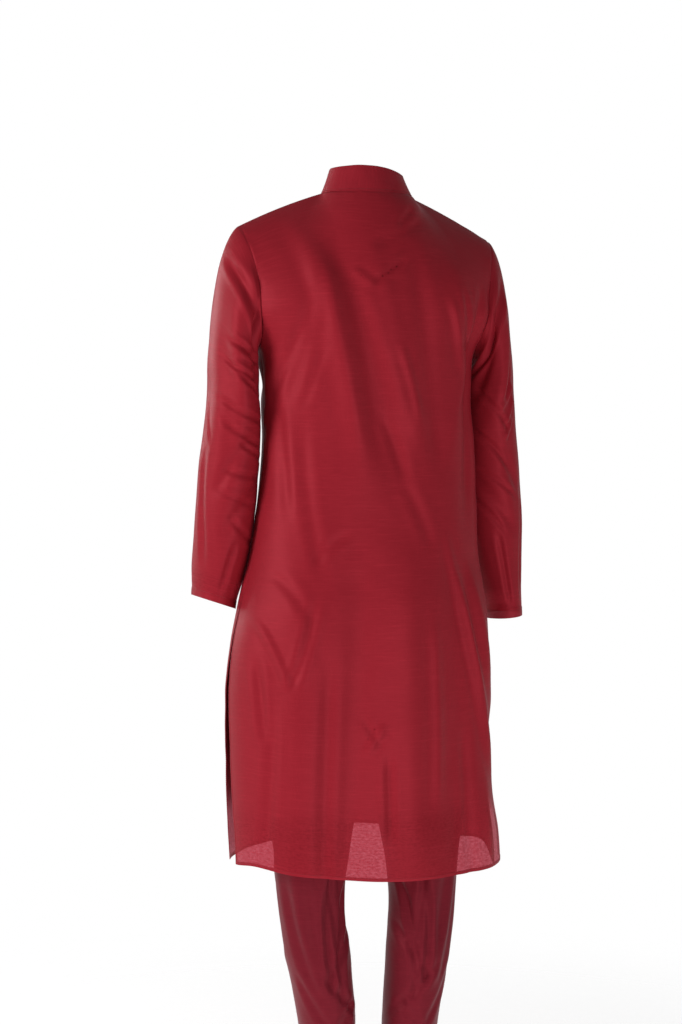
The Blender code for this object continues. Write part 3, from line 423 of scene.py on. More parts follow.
LEG_CREASES = fold_table(
    (900, -900, 840, -1040, 4, 9, -5), (830, -980, 760, -1180, 8, 6, -4.4),
    (760, -960, 800, -1130, -10, 5.5, -3.6), (920, -1020, 800, -1200, 6, 6, -4.2),
    (640, -940, 700, -1120, -6, 9, -3), (580, -1020, 660, -1180, 4, 8, -2.8),
    (950, -1090, 740, -1170, 4, 6.5, -3), (700, -1150, 920, -1220, 3, 6.5, -2.8),
    (580, -1160, 720, -1240, 3, 6.5, -2.4), (120, -940, 300, -1060, 5, 9, -3.4),
    (420, -980, 260, -1110, 5, 9, -3.2), (100, -1080, 280, -1150, 4, 7.5, -2.8),
    (440, -1120, 300, -1200, 3, 7, -2.8), (140, -1180, 340, -1236, 3, 6.5, -2.4),
    (900, -1200, 720, -1256, 3, 6.5, -2.6), (500, -860, 460, -1020, 4, 12, -3),
)


# Slight unevenness, gathers and puckers of the cloth: height, size and seed of each kind of wave.
# The height of ring_swell is a share of the rings.
LATTICE = 64
WAVES = {
    "body": (0.0010, 0.075, 3),
    "body_fine": (0.0004, 0.027, 7),
    "side_seam": (0.0007, 0.011, 11),
    "top_seam": (0.0006, 0.010, 12),
    "sleeve": (0.0008, 0.050, 20),
    "cap_gathers": (0.0007, 0.009, 24),
    "cuff": (0.0005, 0.014, 27),
    "ring_place": (0.0045, 0.045, 31),
    "ring_swell": (0.35, 0.035, 32),
    "leg": (0.0010, 0.045, 40),
    "casing": (0.0008, 0.009, 50),
    "collar": (0.0005, 0.022, 60),
    "placket": (0.0003, 0.020, 70),
}


def smooth(t):
    """A soft step from 0 to 1."""
    t = np.clip(t, 0.0, 1.0)
    return t * t * (3.0 - 2.0 * t)


def read(columns, name, at, key="z"):
    """A smooth curve through one column of a table: cubic pieces whose slopes at the rows are those
    of the parabola through each row and its neighbours. It levels off at its ends and keeps the end
    value past them."""
    order = np.argsort(columns[key])
    knots, values = columns[key][order], columns[name][order]
    slopes = np.gradient(values, knots)
    slopes[[0, -1]] = 0.0
    at = np.clip(at, knots[0], knots[-1])
    i = np.clip(np.searchsorted(knots, at, side="right") - 1, 0, len(knots) - 2)
    span = knots[i + 1] - knots[i]
    t = (at - knots[i]) / span
    rise = values[i + 1] - values[i]
    bend = slopes[i] * span - rise
    unbend = rise - slopes[i + 1] * span
    return values[i] + t * rise + t * (1 - t) * ((1 - t) * bend + t * unbend)


def unit(vectors):
    """The same vectors at length 1."""
    return vectors / np.maximum(np.linalg.norm(vectors, axis=-1, keepdims=True), 1e-12)


def grid(across, along):
    """Two parameters as float arrays of one shape."""
    return np.broadcast_arrays(np.asarray(across, float), np.asarray(along, float))


def stack(x, y, z):
    """Points from arrays of coordinates that broadcast."""
    return np.stack(np.broadcast_arrays(x, y, z), axis=-1)


def bell(distance):
    """One at 0, falling off to nothing by about 2."""
    return np.exp(-(distance**2))


def oval(angle, half, depth, square):
    """An ellipse whose point at each angle is pushed out so that the powers of its two shares add
    up to one."""
    s, c = np.sin(angle), np.cos(angle)
    push = (np.abs(s) ** square + np.abs(c) ** square) ** (-1.0 / square)
    return half * s * push, depth * c * push


def folds(rows, across, z, turn=None, flanks=0.0):
    """Summed soft folds: each is a bell across a line that may bow, faded at both of its ends. With
    turn, the places across come round again after that length. With flanks, each fold has a ridge
    of that share of its depth along both sides."""
    relief = np.zeros(np.broadcast(across, z).shape)
    for x0, z0, x1, z1, bow, width, depth in zip(*(rows[n] for n in FOLD_NAMES.split())):
        length = np.hypot(x1 - x0, z1 - z0)
        ux, uz = (x1 - x0) / length, (z1 - z0) / length
        off = across - x0
        if turn is not None:
            middle = (x1 - x0) / 2
            off = (off - middle + turn / 2) % turn - turn / 2 + middle
        share = (off * ux + (z - z0) * uz) / length
        side = (off * uz - (z - z0) * ux - bow * 4 * share * (1 - share)) / width
        fade = smooth((share + FOLD_PAST) / FOLD_RUN) * smooth((1 + FOLD_PAST - share) / FOLD_RUN)
        profile = bell(side) - flanks * bell((np.abs(side) - FLANK_PLACE) / FLANK_WIDTH)
        relief = relief + depth * fade * profile
    return relief


def waves(name, across, along, hand=0):
    """Smooth uneven waves of one kind: random heights on a square lattice of its size, blended with
    soft steps. The hand or side of a piece changes the seed."""
    height, size, seed = WAVES[name]
    heights = np.random.default_rng(seed + hand).uniform(-1, 1, (LATTICE, LATTICE))
    a, b = across / size, along / size
    i, j = np.floor(a).astype(int), np.floor(b).astype(int)
    s, t = smooth(a - i), smooth(b - j)

    def row(j):
        here, beside = heights[i % LATTICE, j % LATTICE], heights[(i + 1) % LATTICE, j % LATTICE]
        return here * (1 - s) + beside * s

    return height * (row(j) * (1 - t) + row(j + 1) * t)


def neck_ring(turn):
    """The collar seam: turn runs from 0 at the nape to 1 at the throat by the left, or to -1 by the
    right. An oval whose front half is deeper and sinks to the throat."""
    angle = turn * np.pi
    x = NECK_HALF * np.sin(angle)
    depth = np.where(np.cos(angle) > 0, NAPE_Y, -THROAT_Y)
    drop = THROAT_DROP * np.maximum(-np.cos(angle), 0) ** THROAT_EASE
    return stack(x, depth * np.cos(angle), NECK_TILT * x - drop)


def top_line(side, u):
    """The top edge of a panel: the neck ring, then a shoulder seam, bowed up, out to the tip."""
    reach = np.abs(u)
    half_turn = np.clip(reach / NECK_SHARE, 0, 1) / 2
    turn = half_turn if side > 0 else 1 - half_turn
    neck = neck_ring(np.where(u < 0, -turn, turn))
    share = np.clip((reach - NECK_SHARE) / (1 - NECK_SHARE), 0, None)[..., None]
    tip = np.where((u > 0)[..., None], SHOULDER_LEFT, SHOULDER_RIGHT)
    bow = 4 * SHOULDER_BOW * share[..., 0] * (1 - share[..., 0])
    return neck + share * (tip - neck) + stack(0, 0, bow)


def column_angle(side, u, level):
    """The angle of a panel's column. Over the armhole's lower curve the edge follows a quarter turn
    and the columns move in with it as the square of their place."""
    name = "back" if side > 0 else "front"
    low = np.interp(level, EDGE_ANGLES["level"][:3], EDGE_ANGLES[name][:3])
    if side < 0:
        right = np.interp(level, EDGE_ANGLES["level"][:3], EDGE_ANGLES["front_right"][:3])
        low = np.where(u < 0, right, low)
    turn = np.clip(level - UNDERARM, 0, 1) * np.pi / 2
    moved = (EDGE_ANGLES[name][2] - EDGE_ANGLES[name][3]) * np.sin(turn)
    return np.radians(low * u - moved * u * np.abs(u))


def level_z(side, u, level):
    """Height of a level below the blade line. The rows are closer where the armhole starts."""
    hem = read(HEMS, "back" if side > 0 else "front", u, key="u")
    skirt = hem + (SLIT_TOP_Z - hem) * np.minimum(level, SLIT)
    torso = (UNDERARM_Z - SLIT_TOP_Z) * np.clip(level - SLIT, 0, 1)
    share = np.clip(level - UNDERARM, 0, 1)
    share = ARMHOLE_STEADY * share + (1 - ARMHOLE_STEADY) * (1 - np.cos(share * np.pi / 2))
    return skirt + torso + (BLADE_Z - UNDERARM_Z) * share


def body_point(side, u, level, z):
    """A point of the oval section at one height, where u goes from edge to edge of the panel."""
    angle = column_angle(side, u, level)
    depth = read(BODY, "back" if side > 0 else "front", z)
    x, y = oval(angle, read(BODY, "half", z), depth, read(BODY, "square", z))
    return stack(x + read(BODY, "sway", z), side * y, z)


def plain_panel(side, u, level):
    """A panel without folds. Side is 1 for the back and -1 for the front, u runs from -1 at the
    right edge to 1 at the left, and level from HEM to TOP. Above the blade line each column is a
    Bezier curve that starts upright and arrives over the shoulder or against the neck."""
    u, level = grid(u, level)
    low = np.minimum(level, BLADE)
    foot = body_point(side, u, low, level_z(side, u, low))
    head = top_line(side, u)
    t = np.clip(level - BLADE, 0, None)[..., None]
    rise = head[..., 2] - foot[..., 2]
    first = foot + stack(0, 0, RISE_SHARE * rise)
    neck = np.clip(np.abs(u) / NECK_SHARE, 0, 1)
    left = np.clip((1 - np.abs(u)) / (1 - NECK_SHARE), 0, 1)
    slope = SLOPE_TIP + (SLOPE_SIDE - SLOPE_TIP) * left + (SLOPE_NAPE - SLOPE_SIDE) * smooth(1 - neck)
    slope = np.radians(slope)
    fan = NECK_SPREAD * np.sign(u) * np.sin(neck * np.pi / 2) * left**2
    away = stack(fan, side * np.sqrt(1 - fan**2), 0) * np.cos(slope)[..., None]
    second = head + APPROACH * (away - stack(0, 0, np.sin(slope)))
    above = (
        (1 - t) ** 3 * foot + 3 * (1 - t) ** 2 * t * first
        + 3 * (1 - t) * t**2 * second + t**3 * head
    )
    return np.where((level > BLADE)[..., None], above, foot)


def soft_panel(side, u, level):
    """A panel without folds whose columns are blended with their neighbours between the blade line
    and the top edge, so that the corner of the neck leaves no ridge down the yoke."""
    u, level = grid(u, level)
    t = np.clip(level - BLADE, 0, 1)
    reach = YOKE_BLEND * smooth((1 - np.abs(u)) / 0.3) * smooth(t / 0.4) * (1 - t**3)
    points = sum(plain_panel(side, np.clip(u + reach * k, -1, 1), level) for k in YOKE_STEPS)
    return points / len(YOKE_STEPS)


def normals(shape, u, v, step=0.006):
    """Unit normals of a shape function: the cross product of its two directions."""
    across = shape(u + step, v) - shape(u - step, v)
    along = shape(u, v + step) - shape(u, v - step)
    return unit(np.cross(across, along))


def panel_edges(u, level):
    """Metres of cloth from a place on a panel to its nearest side edge and to its top edge."""
    girth = np.interp(level, HALF_GIRTH["level"], HALF_GIRTH["wide"])
    return (1 - np.abs(u)) * girth, (TOP - level) * (YOKE_LENGTH + YOKE_GAIN * np.abs(u))


def panel(side, u, level):
    """A panel as sewn: the folds of the solid, which fade out at its seams and run on through its
    hem, the creases, slight unevenness, puckers along the seams, and the seams' dip."""
    u, level = grid(u, level)
    points = soft_panel(side, u, level)
    outward = -side * normals(partial(soft_panel, side), u, level)
    x, z = points[..., 0], points[..., 2]
    to_side, to_top = panel_edges(u, level)
    free = smooth((SLIT - level) / LEVEL_FADE)

    def or_free(share):
        return share + (1 - share) * free

    fade = or_free(smooth((1 - np.abs(u)) / SIDE_FADE)) * smooth((TOP - level) / LEVEL_FADE)
    rows, creases = (BACK_FOLDS, BACK_CREASES) if side > 0 else (FRONT_FOLDS, FRONT_CREASES)
    relief = folds(rows, x, z) * fade
    still = or_free(smooth(to_side / STILL_REACH)) * smooth(to_top / STILL_REACH)
    uneven = waves("body", x + 5, z + 5, side) + waves("body_fine", x + 5, z + 5, side)
    relief = relief + (folds(creases, x, z, flanks=CREASE_FLANKS) + uneven) * still
    sewn = 1 - free
    pucker = waves("side_seam", z + 5, x * 0.2) * bell(to_side / PUCKER_REACH) * sewn
    pucker = pucker + waves("top_seam", x + 5, z * 0.2) * bell(to_top / PUCKER_REACH)
    dip = SEAM_DIP * np.maximum(bell(to_side / SEAM_DIP_WIDTH) * sewn, bell(to_top / SEAM_DIP_WIDTH))
    inside = or_free(smooth(to_side / SHUT_REACH))
    relief = relief + pucker * inside * smooth(to_top / SHUT_REACH) - dip
    return points + outward * relief[..., None]


def arm_ring(arm, turn, z):
    """A ring of the sleeve: turn runs from the outer side through the back."""
    angle = turn * 2 * np.pi
    outward = read(arm, "across", z) * np.cos(angle)
    y = read(arm, "y", z) + read(arm, "deep", z) * np.sin(angle)
    return stack(read(arm, "x", z) + outward, y, z + read(arm, "tip", z) * outward)


def armhole(hand, turn):
    """The armhole seam, mirrored to the left: turn runs from the shoulder tip down the back to the
    underarm at a half, and up the front."""
    turn = np.mod(turn, 1.0)
    back = plain_panel(1, np.full_like(turn, hand), TOP - 4 * np.minimum(turn, 0.5))
    front = plain_panel(-1, np.full_like(turn, hand), UNDERARM + 4 * np.maximum(turn - 0.5, 0))
    points = np.where((turn <= 0.5)[..., None], back, front)
    return points * (hand, 1, 1)


def plain_sleeve(hand, turn, along):
    """A sleeve without folds, mirrored to the left. Along runs from 0 at the armhole to 1 where the
    cap has settled into the tube and 2 at the cuff. The cap is a cubic from the armhole, which it
    leaves outwards, to the first ring."""
    turn, along = grid(turn, along)
    arm = ARM_LEFT if hand > 0 else ARM_RIGHT
    top, cuff = arm["z"][0], arm["z"][-1]
    start, end = armhole(hand, turn), arm_ring(arm, turn, np.full(turn.shape, top))
    reach = np.linalg.norm(end - start, axis=-1)
    angle = turn * 2 * np.pi
    leave = stack(CAP_OUT, CAP_SPREAD * np.sin(angle), CAP_DOWN)
    top_pull = CAP_PULL_LEFT if hand > 0 else CAP_PULL_RIGHT
    pull = CAP_PULL_UNDER + (top_pull - CAP_PULL_UNDER) * (1 + np.cos(angle)) / 2
    leave = unit(leave) * (reach * pull)[..., None]
    settle = stack(0, 0, -CAP_SETTLE * reach)
    t = np.clip(along, None, 1)[..., None]
    cap = (
        (1 + 2 * t) * (1 - t) ** 2 * start + t * (1 - t) ** 2 * leave
        + t**2 * (3 - 2 * t) * end - t**2 * (1 - t) * settle
    )
    tube = arm_ring(arm, turn, top + (cuff - top) * np.clip(along - 1, 0, None))
    return np.where((along > 1)[..., None], tube, cap)


def sleeve(hand, turn, along):
    """A sleeve as sewn, mirrored to the left: the folds of the solid, which fade out at the armhole
    and the cuff, the creases, the gathers eased into the cap, and the armhole seam's dip."""
    turn, along = grid(turn, along)
    points = plain_sleeve(hand, turn, along)
    outward = -normals(partial(plain_sleeve, hand), turn, along)
    z = points[..., 2]
    around = turn * SLEEVE_GIRTH
    fade = smooth(along / LEVEL_FADE) * smooth((2 - along) / CUFF_FADE)
    creases = LEFT_SLEEVE_CREASES if hand > 0 else RIGHT_SLEEVE_CREASES
    relief = folds(in_metres(SLEEVE_FOLDS, SLEEVE_GIRTH), around, z, SLEEVE_GIRTH) * fade
    sharp = folds(in_metres(creases, SLEEVE_GIRTH), around, z, SLEEVE_GIRTH, CREASE_FLANKS)
    wave = np.sin(turn * 2 * np.pi)
    sharp = sharp + waves("sleeve", wave * 0.1 + 5, z + 5, hand)
    relief = relief + sharp * smooth(along / CREASE_FADE) * smooth((2 - along) / CUFF_FADE)
    from_seam = along * CAP_LENGTH
    near_seam = bell((from_seam - GATHER_PLACE) / PUCKER_REACH)
    gathers = waves("cap_gathers", around + 5, from_seam * 0.3) * near_seam
    to_cuff = (2 - along) * TUBE_LENGTH
    cuff = waves("cuff", around + 5, to_cuff) * bell((to_cuff - CUFF_PUCKER) / CUFF_PUCKER_REACH)
    relief = relief + gathers * smooth(along / 0.03) + cuff
    relief = relief - SEAM_DIP * bell(from_seam / SEAM_DIP_WIDTH)
    return points + outward * relief[..., None]


def in_metres(rows, girth):
    """The same rows with their places across turned from turns into metres of cloth."""
    rows = dict(rows)
    rows["x_from"] = rows["x_from"] * girth
    rows["x_to"] = rows["x_to"] * girth
    return rows


def collar(turn, up):
    """The band collar: turn runs as on the neck ring, and up from 0 at the seam to 1 at the top
    edge, which leans in towards the neck. It is lower at the sides, and lowest at the right."""
    base = neck_ring(turn)
    round_in = COLLAR_LEAN * up * (1 + COLLAR_ROUNDING * (1 - up))
    lean = unit(base * (1, 1, 0)) * round_in[..., None]
    aside = np.sin(turn * np.pi)
    height = COLLAR_HEIGHT - COLLAR_SIDE_LOSS * aside**2 + COLLAR_LEFT_GAIN * aside
    return base - lean + stack(0, 0, height * up)


def ankle_rings(turn, z):
    """Bulge of the bangle-like rings of spare cloth above the ankle: round ridges between narrow
    valleys, each ring tipped a little as it goes round, fading in below the calf. The rings wander
    and swell unevenly round the leg."""
    circle = stack(np.sin(turn * 2 * np.pi), np.cos(turn * 2 * np.pi), 0) * 0.05 + 5
    wander = waves("ring_place", circle[..., 0], circle[..., 1] + z * 0.8)
    place = (RINGS_TOP_Z - z + wander) / (RINGS_TOP_Z - ANKLE_Z) * ANKLE_RINGS
    tip = RING_TILT * np.sin(turn * 2 * np.pi + RING_PHASE * np.floor(place + 0.5))
    ridge = np.abs(np.sin(np.pi * place)) ** RING_ROUNDNESS
    swell = 1 + waves("ring_swell", circle[..., 1] + 2, circle[..., 0] + z * 2)
    return RING_RISE * smooth(place / RING_FADE) * ridge * (1 + tip) * swell


def leg(turn, along):
    """The left leg. Turn runs from the inseam or centre front through the outer side to the inseam
    or centre back. Along runs from 0 at the ankle to 1 at the crotch and 2 at the waist seam. Above
    the crotch the closed ring opens into half of the seat's oval."""
    turn, along = grid(turn, along)
    z = ANKLE_Z + (CROTCH_Z - ANKLE_Z) * np.clip(along, None, 1)
    rise = np.clip(along - 1, 0, 1)
    z = z + (WAIST_SEAM_Z - CROTCH_Z) * rise**SEAT_EASE
    opened = np.sin(rise * np.pi / 2)
    angle = turn * 2 * np.pi
    ring_z = np.minimum(z, CROTCH_Z)
    bulge = ankle_rings(turn, z)
    across, deep = read(LEG, "across", ring_z) + bulge, read(LEG, "deep", ring_z) + bulge
    ring_x = read(LEG, "x", ring_z) - across * np.cos(angle)
    ring_y = read(LEG, "y", ring_z) - deep * np.sin(angle)
    depth = np.where(turn < 0.5, read(SEAT, "front", z), read(SEAT, "back", z))
    half_x, half_y = oval(turn * np.pi, read(SEAT, "half", z), depth, SEAT_SQUARE)
    return stack(ring_x + opened * (half_x - ring_x), ring_y - opened * (half_y + ring_y), z)


def waist_casing(turn, up):
    """The churidar's waist casing: turn runs once round from the centre front through the left."""
    z = WAIST_SEAM_Z + (WAIST_TOP_Z - WAIST_SEAM_Z) * up
    angle = turn * 2 * np.pi
    depth = np.where(np.cos(angle) > 0, read(SEAT, "front", z), read(SEAT, "back", z))
    x, y = oval(angle, read(SEAT, "half", z), depth, SEAT_SQUARE)
    return stack(x, -y, z)


def grid_normals(points, closed=False):
    """Unit normals of a grid of points: the cross product of its two central differences. A closed
    grid comes round to its first column after its last."""
    wide = np.concatenate((points[:, -2:-1], points, points[:, 1:2]), axis=1) if closed else points
    across, along = np.gradient(wide, axis=1), np.gradient(wide, axis=0)
    found = unit(np.cross(across, along))
    return found[:, 1:-1] if closed else found


def spread(*runs):
    """Places along an edge from runs of (start, end, count), joined end to end."""
    parts = [np.linspace(a, b, n, endpoint=False) for a, b, n in runs]
    return np.concatenate((*parts, [runs[-1][1]]))


def quads(ids):
    """The quads between neighbouring points of a grid of point numbers."""
    return np.stack((ids[:-1, :-1], ids[:-1, 1:], ids[1:, 1:], ids[1:, :-1]), axis=-1).reshape(-1, 4)


def measured(points):
    """Cloth coordinates in metres: along the rows from the middle column, and up the columns."""
    steps = np.linalg.norm(np.diff(points, axis=1), axis=-1)
    across = np.concatenate((np.zeros((len(points), 1)), np.cumsum(steps, axis=1)), axis=1)
    across = across - across[:, points.shape[1] // 2][:, None]
    rises = np.linalg.norm(np.diff(points, axis=0), axis=-1).mean(axis=1)
    up = np.concatenate(([0.0], np.cumsum(rises)))[:, None]
    return np.stack(np.broadcast_arrays(across, up), axis=-1)


def add_mesh(name, points, faces, metres=None, layers=None, sharp=60):
    """A shaded mesh object from points and faces, without the points that no face uses. Metres holds
    cloth coordinates for every corner and becomes the UV map cloth; layers is a value per point."""
    corners = np.concatenate([np.ravel(face) for face in faces])
    used, place = np.unique(corners, return_inverse=True)
    sizes = [len(face) for face in faces]
    lists = np.split(place, np.cumsum(sizes)[:-1])
    mesh = bpy.data.meshes.new(name)
    mesh.from_pydata(points[used].tolist(), [], [part.tolist() for part in lists])
    if metres is not None:
        mesh.uv_layers.new(name="cloth").data.foreach_set("uv", metres.astype(np.float32).ravel())
    if layers is not None:
        column = mesh.attributes.new("layers", "FLOAT", "POINT")
        column.data.foreach_set("value", layers[used].astype(np.float32))
    mesh.shade_smooth()
    mesh.set_sharp_from_angle(angle=np.radians(sharp))
    thing = bpy.data.objects.new(name, mesh)
    bpy.context.scene.collection.objects.link(thing)
    return thing


def cloth_shell(name, points, thick, layers, outside=1, closed=False):
    """A thin closed shell on a grid: its points are the outer face, the inner face lies thick inside
    it along the normals, and rims join their free edges. A closed grid repeats its first column as
    its last, and outside is -1 where the grid's own normals point inwards."""
    rows, columns = points.shape[:2]
    thick = np.broadcast_to(thick, (rows, columns))[..., None]
    inner = points - outside * grid_normals(points, closed) * thick
    count = rows * columns
    spots = np.arange(count).reshape(rows, columns)
    ids = spots.copy()
    if closed:
        ids[:, -1] = ids[:, 0]
    edges = [(slice(0, 1), slice(None, None, -1)), (slice(-1, None), slice(None))]
    if not closed:
        edges += [(slice(None), slice(0, 1)), (slice(None, None, -1), slice(-1, None))]

    def every_face(numbers):
        face = quads(numbers)
        rims = []
        for edge in edges:
            line = numbers[edge].ravel()
            rims.append(quads(np.stack((line, line + count))))
        return np.concatenate((face, face[:, ::-1] + count, *rims))

    faces, corners = every_face(ids), every_face(spots)
    if outside < 0:
        faces, corners = faces[:, ::-1], corners[:, ::-1]
    places = np.concatenate((points.reshape(-1, 3), inner.reshape(-1, 3)))
    metres = np.tile(measured(points).reshape(-1, 2), (2, 1))[corners.ravel()]
    doubled = np.tile(np.broadcast_to(layers, (rows, columns)).ravel(), 2)
    return add_mesh(name, places, faces, metres, doubled)


def looped(name, loops):
    """A closed, stiffened solid from a row of closed profiles, each a row of points, with a flat cap
    at both ends."""
    loops = np.concatenate((loops, loops[:, :1]), axis=1)
    rows, columns = loops.shape[:2]
    spots = np.arange(rows * columns).reshape(rows, columns)
    ids = spots.copy()
    ids[:, -1] = ids[:, 0]
    faces = [*quads(ids), ids[0, -2::-1], ids[-1, :-1]]
    corners = np.concatenate((quads(spots).ravel(), spots[0, -2::-1], spots[-1, :-1]))
    metres = measured(loops).reshape(-1, 2)[corners]
    return add_mesh(name, loops.reshape(-1, 3), faces, metres, np.full(rows * columns, STIFF_LAYERS))


def stitches(centres, along, outward, length, radius):
    """Points and faces of many short threads: each is a low arch of four rings of five points, its
    thin ends dipping into the cloth, capped at both ends."""
    share = np.array((-0.5, -0.32, 0.32, 0.5))
    arch = np.array((-0.9, 0.35, 0.35, -0.9)) * radius
    girth = np.array((0.35, 1.0, 1.0, 0.35)) * radius
    angle = np.linspace(0, 2 * np.pi, 6)[:-1]
    along, outward = unit(along), unit(outward)
    side = np.cross(along, outward)
    def summed(one, shares, other, more):
        return one[:, None] * shares[:, None] + other[:, None] * more[:, None]

    line = centres[:, None] + summed(along, share * length, outward, arch)
    ring = summed(side, np.cos(angle), outward, np.sin(angle))
    points = line[:, :, None] + ring[:, None] * girth[:, None, None]
    ids = np.arange(20).reshape(4, 5)
    round_ids = np.concatenate((ids, ids[:, :1]), axis=1)
    one = [*quads(round_ids)[:, ::-1], ids[0], ids[-1, ::-1]]
    faces = [face + 20 * n for n in range(len(centres)) for face in one]
    return points.reshape(-1, 3), faces


def seam_row(path, outward, sizes):
    """Where the stitches of a row lie: centres, directions and outward normals at even steps."""
    run = np.concatenate(([0.0], np.cumsum(np.linalg.norm(np.diff(path, axis=0), axis=-1))))
    places = np.arange(sizes.stitch_pitch / 2, run[-1], sizes.stitch_pitch)

    def at(values, where):
        return np.stack([np.interp(where, run, values[:, k]) for k in range(3)], axis=-1)

    half = sizes.stitch_length / 2
    return at(path, places), at(path, places + half) - at(path, places - half), at(outward, places)


def stitching(name, rows, sizes, length=None):
    """One object of thread from rows of centres, directions and normals."""
    centres, along, outward = (np.concatenate(part) for part in zip(*rows))
    length = length or sizes.stitch_length
    points, faces = stitches(centres, along, outward, length, sizes.thread_radius)
    return add_mesh(name, points, faces, sharp=80)


def path_rows(shape, facing, lift, rows, sizes, flip=(1, 1, 1)):
    """Stitch rows on a shape function, from rows of its two parameters. Facing is the sign that turns
    its normals outwards."""
    found = []
    for u, v in rows:
        u, v = np.broadcast_arrays(u, v)
        outward = facing * normals(shape, u, v)
        found.append(seam_row((shape(u, v) + outward * lift) * flip, outward * flip, sizes))
    return found


def within(width, distance, run=ALLOWANCE_STEP):
    """One where a place is nearer to an edge than a width, with a soft step to nothing."""
    return smooth((width - distance) / run)


def panel_grid():
    """Columns and rows of a panel, closer together at its seams and hems."""
    half = spread((0, NECK_SHARE, 26), (NECK_SHARE, 0.97, 38), (0.97, 1.0, 7))
    u = np.concatenate((-half[:0:-1], half))
    level = spread((HEM, 0.016, 6), (0.016, SLIT, 90), (SLIT, UNDERARM, 74), (UNDERARM, BLADE, 22),
                   (BLADE, 3.93, 38), (3.93, TOP, 8))
    return np.meshgrid(u, level)


def body_piece(name, side, sizes):
    """The back or the front: the sewn panel as a shell, with narrow hems down its slits and along its
    bottom edge, doubled at the hems and seams."""
    u, level = panel_grid()
    points = panel(side, u, level)
    to_side, to_top = panel_edges(u, level)
    free = (level < SLIT).astype(float)
    to_free = np.minimum(level * SKIRT_LENGTH, np.where(free > 0, to_side, 1))
    hem = within(sizes.narrow_hem, to_free, HEM_STEP)
    sewn = within(ALLOWANCE, np.minimum(to_side, to_top))
    points = points - side * grid_normals(points) * (HEM_EXTRA * hem)[..., None]
    filled = BODY_LAYERS * smooth((points[..., 2] - SHEER_Z) / SHEER_RUN)
    layers = 1 + np.maximum(HEM_LAYERS * hem, sewn) + filled
    return cloth_shell(name, points, sizes.kurta_cloth + HEM_EXTRA * hem, layers, -side)


def body_stitching(name, side, sizes):
    """A row of stitches along the bottom hem and one up each slit."""
    inset = sizes.narrow_hem - STITCH_INSET
    low, wide = inset / SKIRT_LENGTH, inset / HALF_GIRTH["wide"][0]
    across = np.linspace(-1 + wide, 1 - wide, 400)
    up = np.linspace(low, SLIT - 0.004, 400)
    in_hem = 1 - inset / np.interp(up, HALF_GIRTH["level"], HALF_GIRTH["wide"])
    rows = path_rows(partial(panel, side), -side, HEM_EXTRA,
                     [(across, low), (in_hem, up), (-in_hem, up)], sizes)
    return stitching(name, rows, sizes)


def sleeve_piece(name, hand, sizes):
    """A set-in sleeve as a shell, with its turned-up hem at the cuff."""
    turn, along = np.meshgrid(
        np.linspace(0, 1, 121), spread((0, 0.06, 8), (0.06, 1, 74), (1, 1.955, 112), (1.955, 2, 8))
    )
    points = sleeve(hand, turn, along)
    hem = within(sizes.cuff_hem, (2 - along) * TUBE_LENGTH, HEM_STEP)
    sewn = within(ALLOWANCE, along * CAP_LENGTH)
    points = points - grid_normals(points, True) * (HEM_EXTRA * hem)[..., None]
    filled = BODY_LAYERS * smooth(((2 - along) * TUBE_LENGTH - CUFF_SHEER) / CUFF_SHEER_RUN)
    layers = 1 + np.maximum(hem, sewn) + filled
    thick = sizes.kurta_cloth + HEM_EXTRA * hem
    return cloth_shell(name, points * (hand, 1, 1), thick, layers, -hand, True)


def sleeve_stitching(name, hand, sizes):
    """The row that holds the cuff's hem."""
    along = 2 - (sizes.cuff_hem - STITCH_INSET) / TUBE_LENGTH
    rows = path_rows(partial(sleeve, hand), -1, HEM_EXTRA,
                     [(np.linspace(0, 1, 200), along)], sizes, (hand, 1, 1))
    return stitching(name, rows, sizes)


def leg_surface(hand, turn, along):
    """A leg with its creases and slight unevenness, mirrored to the left. Under the kurta it lies a
    little further in than its solid."""
    points = leg(turn, along)
    outward = grid_normals(points)
    z, around = points[..., 2], turn * LEG_GIRTH
    relief = folds(in_metres(LEG_CREASES, LEG_GIRTH), around, z, LEG_GIRTH, CREASE_FLANKS)
    wave = np.sin(turn * 2 * np.pi) * 0.05 + 5
    relief = relief + waves("leg", wave, z + 5, hand)
    relief = relief * smooth((1 - along) / LEG_CREASE_FADE)
    relief = relief - SEAT_TUCK * smooth((z - TUCK_Z) / TUCK_RUN)
    points = points + outward * relief[..., None]
    low = along[:, 0] < 1
    points[low, -1] = points[low, 0]
    return points


def leg_piece(name, hand, sizes):
    """A leg of the churidar with its half of the seat."""
    turn, along = np.meshgrid(
        np.linspace(0, 1, 121), spread((0, 0.02, 6), (0.02, 0.30, 170), (0.30, 1, 130), (1, 2, 40))
    )
    points = leg_surface(hand, turn, along) * (hand, 1, 1)
    sewn = within(ALLOWANCE, np.minimum(turn, 1 - turn) * LEG_GIRTH)
    hem = within(sizes.cuff_hem, along * LEG_LENGTH, HEM_STEP)
    return cloth_shell(name, points, sizes.churidar_cloth, 1 + np.maximum(hem, sewn), hand)


def waistband_piece(name, sizes):
    """The waist casing, gathered a little between its two seams."""
    turn, up = np.meshgrid(np.linspace(0, 1, 241), np.linspace(0.01, 1, 9))
    points = waist_casing(turn, up)
    gathers = waves("casing", turn * 0.74 + 5, up * 0.01) - SEAT_TUCK
    points = points + grid_normals(points, True) * (gathers * np.sin(np.pi * up))[..., None]
    points[..., :2] *= 1 - CASING_PULL
    return cloth_shell(name, points, sizes.churidar_cloth * CASING_CLOTHS, 2, 1, True)


def collar_end(turn):
    """The share of its height that the collar keeps near its two rounded ends at the throat."""
    to_end = (1 - np.abs(turn)) * NECK_RUN
    corner = np.clip(1 - to_end / COLLAR_CORNER, 0, 1)
    return 1 - COLLAR_CORNER_DROP * (1 - np.sqrt(1 - corner**2))


